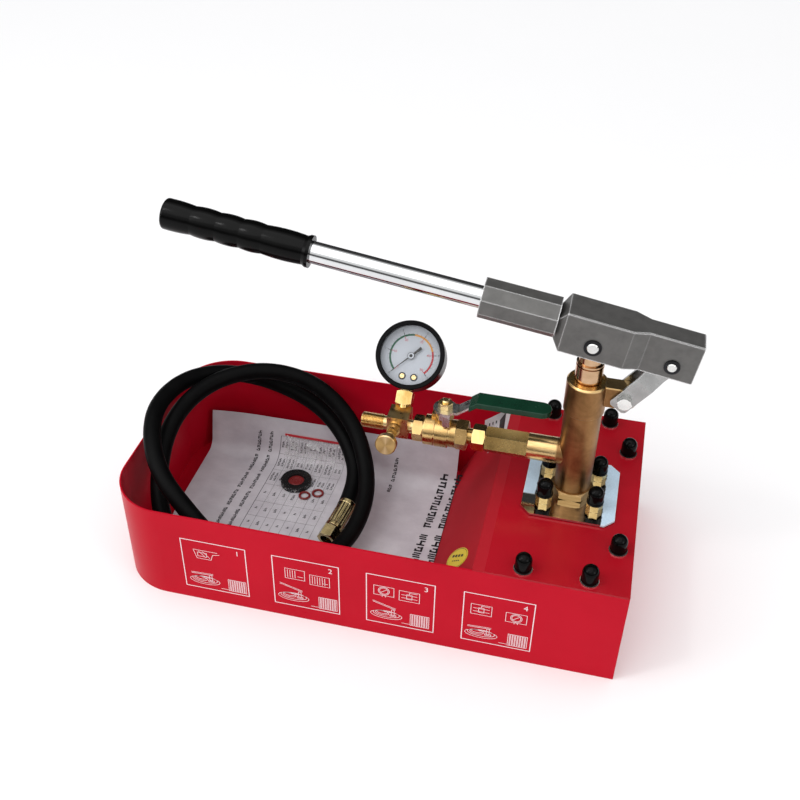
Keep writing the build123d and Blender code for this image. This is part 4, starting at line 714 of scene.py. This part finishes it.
def makeDialArt(v):
    zones = (("dial_green_zone", "inkGreen", 0.0, v["greenEnd"]),
             ("dial_amber_zone", "inkAmber", v["greenEnd"], v["amberEnd"]),
             ("dial_red_zone", "inkRed", v["amberEnd"], 1.0))
    for name, ink, a, b in zones:
        band = ribbon(arc((0, 0), v["arcRadius"], dialTurn(a), dialTurn(b), 40), v["arcWidth"])
        dress(joined(name, [onDial(band, 0.06)]), ink, "tank")
    black, red = [], []
    markLift = 0.09
    steps = v["majors"] * v["minors"]
    for k in range(steps + 1):
        t = radians(dialTurn(k / steps))
        outwards = np.array((cos(t), sin(t)))
        number, between = divmod(k, v["minors"])
        out, wide = (v["minorOut"], v["minorTick"]) if between else (v["majorOut"], v["majorTick"])
        black.append(onDial(ribbon([v["tickIn"] * outwards, out * outwards], wide), markLift))
        if between:
            continue
        inner = [(v["arcRadius"] - v["redLong"]) * outwards, (v["arcRadius"] - v["redGap"]) * outwards]
        red.append(onDial(ribbon(inner, v["redTick"]), markLift))
        for marks, text, size, away in ((black, number, v["outerSize"], v["outerNumbers"]),
                                        (red, number * 10, v["innerSize"], v["innerNumbers"])):
            spot = gaugeCentre + away * (cos(t) * acrossDial + sin(t) * gaugeOut)
            marks.append(lettering(str(text), size, spot, acrossDial, gaugeOut, v["dialTop"] + markLift))
    # painted shadows: dark rings round the two screws; a white ring and a black dot on the needle's hub
    shadows = [ringOnDial(x, v["screwY"], v["screwShadow"], 0.12) for x in (-v["screwX"], v["screwX"])]
    hubLift = v["hubTop"] - v["dialTop"]
    hubRing = [ringOnDial(0, 0, v["hubRing"], hubLift + 0.08)]
    hubDot = [ringOnDial(0, 0, v["hubDot"], hubLift + 0.14, 24)]
    for name, ink, body, parts, split in (
            ("dial_black_marks", "inkBlack", "tank", black, True),
            ("dial_red_marks", "inkRed", "tank", red, True),
            ("dial_screw_shadows", "inkBlack", "tank", shadows, False),
            ("needle_hub_ring", "dialPrint", "gauge_needle", hubRing, False),
            ("needle_hub_dot", "inkBlack", "gauge_needle", hubDot, False)):
        dress(joined(name, parts, split=split), ink, body)


makeDialArt(gauge)
print("gauge face drawn")


# outlet thread

thread = {"radius": 6.62, "crest": 7.45, "pitch": 1.45, "start": -23.4, "end": -2.0}


def makeThread(v):
    # helix: radius swings between root and crest once a pitch, and the crest fades out at both ends
    turns = (v["end"] - v["start"]) / v["pitch"]
    around, rise = 36, 6
    t = aroundTurn(around)
    s = np.linspace(0, turns, int(turns * rise) + 1)
    phase = (s[:, None] - t[None, :] / (2 * pi)) % 1.0
    swell = np.clip(1.5 - np.abs(phase - 0.5) * 4, 0, 1)
    fade = np.clip(np.minimum(s, turns - s) * 1.5, 0, 1)[:, None]
    radius = v["radius"] + (v["crest"] - v["radius"]) * swell * fade
    points, faces = aroundAxis((0, 0, gauge["pipeZ"]), (1, 0, 0), (0, 1, 0), (0, 0, 1),
                               v["start"] + s * v["pitch"], t, radius)
    return meshFrom("outlet_thread", points, faces[:, ::-1])


dress(makeThread(thread), "pipeBrass", "tank")

knurl = {
    "lineX": 9.8, "turn": 77.0, "start": 19.8, "bandStart": 28.6, "bandEnd": 30.2, "end": 38.6,
    "radius": 4.42, "depth": 0.35, "ridges": 30, "fade": 0.3,
}


def makeKnurl(v):
    # straight knurl on the bleed screw's stem, parted by a plain band; its ridges fade out at each end
    t = aroundTurn(v["ridges"] * 4)
    turn = radians(v["turn"])
    out, up = np.array((0.0, -sin(turn), cos(turn))), np.array((0.0, cos(turn), sin(turn)))
    ridges = v["depth"] * (0.5 + 0.5 * np.cos(v["ridges"] * t))
    radius = v["radius"] + np.array([0, 1, 1, 0])[:, None] * ridges[None, :]
    parts = []
    for a, b in ((v["start"], v["bandStart"]), (v["bandEnd"], v["end"])):
        s = np.array([a, a + v["fade"], b - v["fade"], b])
        parts.append(aroundAxis((v["lineX"], 0, gauge["pipeZ"]), out, acrossDial, up, s, t, radius))
    return joined("bleed_screw_knurl", parts)


dress(makeKnurl(knurl), "pipeBrass", "bleed_screw")
print("thread and knurl cut")


# pictograms on the tank's side

pictograms = {
    "centres": (-136.5, -46.2, 44.2, 134.8), "middleZ": 48.0, "width": 64.0, "height": 63.5, "frameLine": 0.9,
    "line": 0.5, "number": 8.5, "numberIn": (8.0, 7.5), "wallY": -123.0, "lift": 0.08,
}


# each stroke is its points and whether it closes

def box(x, y, w, h):
    return np.array([(x, y), (x + w, y), (x + w, y + h), (x, y + h)], float), True


def line(*points):
    return np.array(points, float), False


def ring(x, y, radius, count=36, squash=1.0):
    return arc((x, y), radius, 0, 350, count, squash), True


def pumpDrawing(tipY):
    # tray with a coil, a pump barrel and its lever
    return [ring(15, 6, 15, 48, 0.34), ring(15, 7.4, 12.6, 48, 0.34), ring(11, 8, 6.4, 36, 0.42),
            ring(11, 9.2, 5.0, 36, 0.42), box(20, 6.5, 2.6, 8), box(18.6, 5.4, 5.6, 2),
            line((24, 15), (2, tipY)), line((24, 16.4), (2, tipY + 1.4)), line((13, 10), (20, 10))]


def barsDrawing(count):
    bars = [line((2.5 + k * 2.4, 1.5), (2.5 + k * 2.4, 11.5)) for k in range(count)]
    return [box(0, 0, 19, 13)] + bars + [line((12, 4), (17.5, 4))]


drawings = {
    "pump": pumpDrawing(14), "pumpUp": pumpDrawing(22), "fewBars": barsDrawing(4), "moreBars": barsDrawing(6),
    "radiator": [box(k * 2.3, 0, 1.5, 15.5) for k in range(8)] + [line((-8, 1), (0, 1))],
    "jug": [line((0, 11), (3, 0), (17, 0), (19, 7), (26, 9)), line((0, 11), (24, 11)), box(4, 3, 9, 5),
            line((5, 10), (12, 2)), line((9, 10), (16, 2))],
    "valve": [box(0, 0, 19, 13), line((2, 4), (17, 4)), line((2, 8), (17, 8)), box(7, 3, 5, 6),
              line((9.5, 9), (9.5, 11.5), (17, 11.5))],
    "gauge": [box(0, 0, 19, 12), ring(9.5, 6, 5.2), ring(9.5, 6, 4.0), line((6.6, 3.6), (12.6, 8.6)),
              line((8, 0), (8, -2)), line((11, 0), (11, -2))],
}
# what each frame holds: drawing and the place of its corner
pictures = (
    (("jug", 12, 41), ("pump", 5, 5), ("radiator", 44, 3)),
    (("fewBars", 12, 37), ("moreBars", 36, 34), ("pumpUp", 4, 6), ("radiator", 44, 3)),
    (("gauge", 7, 38), ("valve", 31, 36), ("pumpUp", 4, 6), ("radiator", 42, 4)),
    (("valve", 7, 37), ("gauge", 39, 35), ("pump", 3, 5), ("radiator", 43, 3)),
)


def makePictograms(v):
    w, h = v["width"], v["height"]
    across, up = (1, 0, 0), (0, 0, 1)
    parts = []
    for k, (centre, picture) in enumerate(zip(v["centres"], pictures)):
        origin = np.array((centre - w / 2, v["wallY"], v["middleZ"] - h / 2))
        strokes = [(*box(0, 0, w, h), v["frameLine"])]
        for name, x, y in picture:
            strokes += [(path + (x, y), closed, v["line"]) for path, closed in drawings[name]]
        for path, closed, wide in strokes:
            parts.append(placed(ribbon(path, wide, closed), origin, across, up, v["lift"]))
        spot = origin + (w - v["numberIn"][0], 0, h - v["numberIn"][1])
        parts.append(lettering(str(k + 1), v["number"], spot, across, up, v["lift"]))
    return joined("tank_pictograms", parts, split=True)


dress(makePictograms(pictograms), "inkWhite", "tank")
print("pictograms drawn")


# stickers on the slope

slope = {"topX": 108.0, "topZ": 109.5, "footX": 57.0, "footZ": 3.5}
slopeDown = np.array((slope["footX"] - slope["topX"], 0, slope["footZ"] - slope["topZ"]))
slopeDown /= np.linalg.norm(slopeDown)
slopeTop = np.array((slope["topX"], 0.0, slope["topZ"]))
alongY = np.array((0.0, 1.0, 0.0))

stickers = {
    "ovalY": -71.0, "ovalDown": 49.0, "ovalLong": 33.0, "ovalWide": 11.2, "ovalTurn": -36.0, "lift": 0.12,
    "printLift": 0.18, "rimLong": 3.0, "rimWide": 1.0, "rimLine": 0.5,
    # rows of marks on the oval: place across it, half length, line width
    "ovalRows": ((-2.6, 20.0, 2.6), (2.6, 13.0, 1.2)), "ovalMarks": 4, "ovalMarkShare": 0.68,
    # corners and dashes on the slope as y and distance down it, on the rear wall as x and z
    "label": ((121.4, 0.8), (75, 0.8), (78, 42), (121.4, 42)),
    "band": ((121.4, 15.5), (80, 8), (81.5, 20), (121.4, 29)),
    "dashes": ((116, 33), (110, 35), (104, 32), (98, 34), (92, 32)), "dashLong": 3.4, "dashWide": 1.2,
    "wallLabel": ((103, 100), (79.3, 80.2), (79.9, 63), (86, 64)), "wallY": 121.38,
    "wallDashes": ((84, 77), (87.5, 79.5), (91, 82)), "wallDashLift": 0.06,
    "wallDash": ((0, 0), (0, -4), (1.2, -3.4), (1.2, 0.6)),
}


def onSlope(part, y, down, lift):
    # x runs towards the front along the bend line, y runs up the slope
    return placed(part, slopeTop + alongY * y + slopeDown * down, -alongY, -slopeDown, lift)


def disc(long, wide, rings=6, count=64):
    r = np.linspace(0.02, 1, rings)[:, None]
    t = aroundTurn(count)[None, :]
    points = np.stack([wide * r * np.cos(t), long * r * np.sin(t), 0 * r * t], axis=-1).reshape(-1, 3)
    return points, gridFaces(rings, count, closeColumns=True)[:, ::-1]


def turnedPart(part, degrees):
    points, faces = part
    c, s = cos(radians(degrees)), sin(radians(degrees))
    x, y = points[:, 0] * c - points[:, 1] * s, points[:, 0] * s + points[:, 1] * c
    return np.stack([x, y, points[:, 2]], axis=-1), faces


def facing(points, normal):
    # one quad, its corners in the order that makes it face along normal
    order = [0, 1, 2, 3]
    if np.dot(np.cross(points[1] - points[0], points[2] - points[0]), normal) < 0:
        order.reverse()
    return points, np.array([order])


def slopePatch(corners, lift):
    # a patch on the slope from corners given as y and distance down from the bend
    normal = np.cross(alongY, slopeDown)
    normal *= np.sign(normal[2])
    points = np.array([slopeTop + alongY * y + slopeDown * down + normal * lift for y, down in corners])
    return facing(points, normal)


def wallPatch(corners, wallY):
    return facing(np.array([(x, wallY, z) for x, z in corners]), (0, -1, 0))


def makeStickers(v):
    def onOval(part, lift):
        return onSlope(turnedPart(part, v["ovalTurn"]), v["ovalY"], v["ovalDown"], lift)

    rimWide, rimLong = v["ovalWide"] - v["rimWide"], v["ovalLong"] - v["rimLong"]
    rim = ribbon(arc((0, 0), rimWide, 0, 354, 60, rimLong / rimWide), v["rimLine"], True)
    marks = [onOval(rim, v["printLift"])]
    for row, half, wide in v["ovalRows"]:
        step = half / 2
        for low in -half + step * np.arange(v["ovalMarks"]):
            mark = ribbon([(row, low), (row, low + step * v["ovalMarkShare"])], wide)
            marks.append(onOval(mark, v["printLift"]))
    dashes = []
    for k, (y, down) in enumerate(v["dashes"]):
        end, foot = y - v["dashLong"], down + v["dashWide"] + k % 2
        dashes.append(slopePatch(((y, down), (end, down), (end, foot), (y, foot)), v["printLift"]))
    for x, z in v["wallDashes"]:
        dashes.append(wallPatch([(x + a, z + b) for a, b in v["wallDash"]], v["wallY"] - v["wallDashLift"]))
    label = [slopePatch(v["label"], v["lift"]), wallPatch(v["wallLabel"], v["wallY"])]
    for name, ink, parts in (
            ("oval_sticker", "inkYellow", [onOval(disc(v["ovalLong"], v["ovalWide"]), v["lift"])]),
            ("oval_sticker_marks", "inkBlack", marks),
            ("slope_label", "labelWhite", label),
            ("slope_label_band", "inkBlack", [slopePatch(v["band"], v["printLift"])]),
            ("slope_label_marks", "inkBlack", dashes)):
        dress(joined(name, parts), ink, "tank")


makeStickers(stickers)
print("stickers on")


# leaflet

leaflet = {
    "left": -225.0, "right": 56.0, "front": -71.8, "bendY": 78.0, "bendRadius": 20.0, "bendTurn": 75.0,
    "flap": 34.0, "floorZ": 1.75, "wave": 1.1, "waveIn": 20.0, "cornerLift": 7.0, "cornerSpan": 60.0,
    "pageSize": (297.0, 210.0),
}


def onSheet(v, x, s, extra):
    # a point x across and s along the sheet: flat, then round the bend and up the flap, on a slow ripple;
    # extra lifts it square to the sheet
    bend = radians(v["bendTurn"])
    flat = v["bendY"] - v["front"]
    turn = np.clip((s - flat) / v["bendRadius"], 0, bend)
    past = np.clip(s - flat - v["bendRadius"] * bend, 0, None)
    y = v["front"] + np.minimum(s, flat) + v["bendRadius"] * np.sin(turn) + past * cos(bend)
    z = v["floorZ"] + v["bendRadius"] * (1 - np.cos(turn)) + past * sin(bend)
    ripple = v["wave"] * (0.5 + 0.5 * np.sin(x / 31 + s / 47) * np.cos(x / 53 - s / 29))
    span = v["cornerSpan"]
    corner = np.clip((v["left"] + span - x) / span, 0, 1) ** 2 * v["cornerLift"] * np.clip(s / span, 0, 1)
    lift = ripple * np.clip(s / v["waveIn"], 0, 1) + corner + extra
    return np.stack([x + 0 * s, y - lift * np.sin(turn), z + lift * np.cos(turn)], axis=-1)


def makeLeaflet(v):
    total = v["bendY"] - v["front"] + v["bendRadius"] * radians(v["bendTurn"]) + v["flap"]
    columns, rows = 71, 91
    x, s = np.meshgrid(np.linspace(v["left"], v["right"], columns), np.linspace(0, total, rows))
    piece = meshFrom("leaflet_sheet", onSheet(v, x, s, 0), gridFaces(rows, columns))
    addUv(piece, np.stack([(x - v["left"]) / v["pageSize"][0], s / v["pageSize"][1]], axis=-1))
    return piece, (v["right"] - v["left"], total)


def makePaper():
    shader = newFinish("printedPaper")
    uv = newNode("ShaderNodeTexCoord").outputs["UV"]
    tone = ramp(noise(uv, 9, 4, 0.6), [(0.3, (0.5, 0.475, 0.51)), (0.7, (0.62, 0.6, 0.63))])
    fibre = times(noise(uv, 420, 3, 0.6), 0.12)
    roughen(shader, noise(uv, 24, 4, 0.6), 0.25, 0.002)
    coat(shader, mixColour(fibre, tone, (0.36, 0.34, 0.36)), 0.42, shine=0.4)


makePaper()
leafletPiece, leafletFlat = makeLeaflet(leaflet)
dress(leafletPiece, "printedPaper", "tank", ["leaflet"])
print("leaflet laid")

sheetPrint = {
    "turn": 0.05, "turnFrom": 60.0, "step": 5.0, "lift": 0.12, "ruleHalf": 0.16, "firstRule": 2,
    "columns": (-152, -141.5, -130.5, -120, -109, -97.5, -86.5, -76),
    "rows": (-1, 22, 48, 69, 92, 120, 144.5, 167, 189),
    # lines of marks: place across, start, end, height, pitch, and at which mark a gap falls
    "lines": ((37, 1.5, 177, 8.4, 9, 10), (52.5, 1.5, 179, 8.4, 9, 10),
              (-177, 10, 192, 3.9, 3.7, 8), (-163.5, 10, 193, 3.9, 3.7, 8),
              (-18, 138, 186, 3.8, 4.2, 8)),
    # cells hold one line, and two from the row pairFrom on: place across, height, pitch, gap as above
    "single": ((0.0, 3.0, 3.0, 9),), "pairFrom": 5, "pair": ((-2.1, 2.5, 2.7, 9), (2.1, 2.5, 2.7, 7)),
    "markWidth": 0.84,
}
# abstract marks in a unit square: shares along the line, then across it
markShapes = (
    ((0, 0.28, 0, 1), (0.28, 1, 0.36, 0.64), (0.74, 1, 0.64, 1)),
    ((0, 1, 0, 0.24), (0.12, 0.4, 0.24, 1), (0.62, 0.9, 0.24, 0.78)),
    ((0, 0.26, 0.1, 1), (0.37, 0.63, 0, 0.9), (0.74, 1, 0.1, 1)),
    ((0, 1, 0.76, 1), (0.08, 0.36, 0, 0.76), (0.64, 0.92, 0.2, 0.76)),
    ((0, 0.5, 0, 0.26), (0, 0.28, 0.26, 1), (0.28, 1, 0.74, 1), (0.6, 0.88, 0.3, 0.74)),
)


def printPatch(x0, x1, s0, s1, v):
    # a printed rectangle that follows the sheet; the print sits slightly turned on it
    columns = max(2, int(abs(x1 - x0) / v["step"]) + 2)
    rows = max(2, int(abs(s1 - s0) / v["step"]) + 2)
    x, s = np.meshgrid(np.linspace(x0, x1, columns), np.linspace(s0, s1, rows))
    x = x + v["turn"] * (s - v["turnFrom"])
    return onSheet(leaflet, x, s, v["lift"]), gridFaces(rows, columns)


def printLine(x, start, end, tall, pitch, gapEvery, v):
    patches = []
    foot, wide = x - tall / 2, pitch * v["markWidth"]
    for k in range(int((end - start) / pitch)):
        if k % gapEvery == gapEvery - 1:
            continue
        low = end - (k + 1) * pitch
        for shape in markShapes[(k * 3 + k // 4) % len(markShapes)]:
            a, b = low + wide * np.array(shape[:2]), foot + tall * np.array(shape[2:])
            patches.append(printPatch(*b, *a, v))
    return patches


def makePrint(v):
    marks, rules = [], []
    for textLine in v["lines"]:
        marks += printLine(*textLine, v)
    columns, rows, half = v["columns"], v["rows"], v["ruleHalf"]
    for k, x in enumerate(columns):
        wide = half if k else half * v["firstRule"]
        rules.append(printPatch(x - wide, x + wide, rows[0], rows[-1], v))
    for s in rows:
        rules.append(printPatch(columns[0], columns[-1], s - half, s + half, v))
    for k, (left, right) in enumerate(zip(columns, columns[1:])):
        for j, (low, high) in enumerate(zip(rows, rows[1:])):
            paired = j >= v["pairFrom"]
            # text fills a share of the cell that changes from cell to cell; single lines are half as long
            reach = (high - low) * (0.35 + 0.1 * ((k * 5 + j * 3) % 4)) / (2 if paired else 4)
            across, along = (left + right) / 2, (low + high) / 2
            for side, tall, pitch, gapEvery in v["pair"] if paired else v["single"]:
                marks += printLine(across + side, along - reach, along + reach, tall, pitch, gapEvery, v)
    dress(joined("leaflet_marks", marks, smooth=True), "printInk", "tank")
    dress(joined("leaflet_rules", rules, smooth=True), "ruleInk", "tank")


makePrint(sheetPrint)
print("leaflet printed")


# bag of spares

bag = {
    "left": -141.0, "right": -71.0, "front": 8.0, "end": 121.0, "rest": 0.45, "crease": 1.6, "rim": 5.0,
    # place, radius, height and slope's width of the humps over the black seal and the two red rings
    "humps": ((-116, 58, 17, 5, 9), (-100.5, 39, 6.6, 2.9, 6), (-87.5, 46, 6.6, 2.9, 6)),
    "clearSpots": ((-116, 58, 17.5), (-100.5, 39, 8), (-87.5, 46, 8)),
    "alphaLow": 0.008, "alphaHigh": 0.9, "stripFrom": 0.95, "stripTo": 1.55,
}
bagWide = bag["right"] - bag["left"]


def makeBag(v):
    # film over the sheet: rest height, rounded humps over the seals and sharp diagonal creases
    columns, rows = 121, 181
    startS, endS = v["front"] - leaflet["front"], v["end"] - leaflet["front"]
    x, s = np.meshgrid(np.linspace(v["left"], v["right"], columns), np.linspace(startS, endS, rows))
    y = s + leaflet["front"]
    humps = 0
    for spotX, spotY, radius, lift, fall in v["humps"]:
        near = np.clip(1 - (np.hypot(x - spotX, y - spotY) - radius) / fall, 0, 1)
        humps = np.maximum(humps, lift * near * near * (3 - 2 * near))
    bend = 5 * np.sin(x / 13 + y / 29) + 4 * np.sin(x / 7 - y / 17)
    first = (1 - np.abs(np.sin((x * 0.8 + y * 0.5 + bend) / 9))) ** 5
    second = (1 - np.abs(np.sin((x * 0.45 - y + bend * 1.4) / 12))) ** 6
    inside = np.minimum(np.minimum(x - v["left"], v["right"] - x), np.minimum(s - startS, endS - s))
    rim = np.clip(inside / v["rim"], 0, 1)
    extra = v["rest"] + np.maximum(humps, v["crease"] * (first + second)) * rim
    piece = meshFrom("parts_bag_film", onSheet(leaflet, x, s, extra), gridFaces(rows, columns))
    addUv(piece, np.stack([(x - v["left"]) / bagWide, (s - startS) / bagWide], axis=-1))
    return piece


def makeFilm(v):
    # clear film: nearly unseen where it lies flat and over the seals; whitish and more opaque along its
    # creases, as painted highlights that grow towards the strip
    shader = newFinish("creasedFilm")
    uv = newNode("ShaderNodeTexCoord").outputs["UV"]
    # the painted crease highlights grow stronger towards the strip
    near = mapTo(axisParts(uv)[1], 0.35, 3.4, v["stripFrom"], v["stripTo"])
    wide = noise(uv, 5.0, 5, 0.62, 1.6)
    fine = noise(uv, 19.0, 4, 0.6, 1.0)
    creaseGlints = []
    for pattern, strength, reach in ((wide, 1.0, 0.018), (fine, 0.6, 0.014)):
        ridge = maths("ABSOLUTE", maths("SUBTRACT", pattern, 0.5))
        creaseGlints.append(mapTo(maths("DIVIDE", ridge, near), strength, 0.0, 0.0, reach))
    creaseGlint = maths("MAXIMUM", *creaseGlints)
    for x, y, radius in v["clearSpots"]:
        spot = ((x - v["left"]) / bagWide, (y - v["front"]) / bagWide, 0)
        away = maths("DISTANCE", uv, spot, "ShaderNodeVectorMath")
        inner, outer = radius * 0.85 / bagWide, radius * 1.05 / bagWide
        creaseGlint = times(creaseGlint, mapTo(away, 0.0, 1.0, inner, outer))
    roughen(shader, wide, 0.5, 0.004)
    feed(shader, {
        "Base Color": ramp(wide, [(0.3, grey(0.72)), (0.7, grey(0.9))]),
        "Alpha": mapTo(creaseGlint, v["alphaLow"], v["alphaHigh"]), "Roughness": 0.1, "Specular IOR Level": 0.9})


# dark red disc inside the black seal
sealCore = {"place": (-116.0, 58.0, 4.2), "radius": 8.8, "rings": 5, "sides": 48}
core = placed(disc(sealCore["radius"], sealCore["radius"], sealCore["rings"], sealCore["sides"]),
              sealCore["place"], (1, 0, 0), (0, 1, 0))
dress(joined("seal_core", [core]), "ringRubber", "tank")
makeFilm(bag)
dress(makeBag(bag), "creasedFilm", "tank", ["parts_bag"])
print("bag laid")
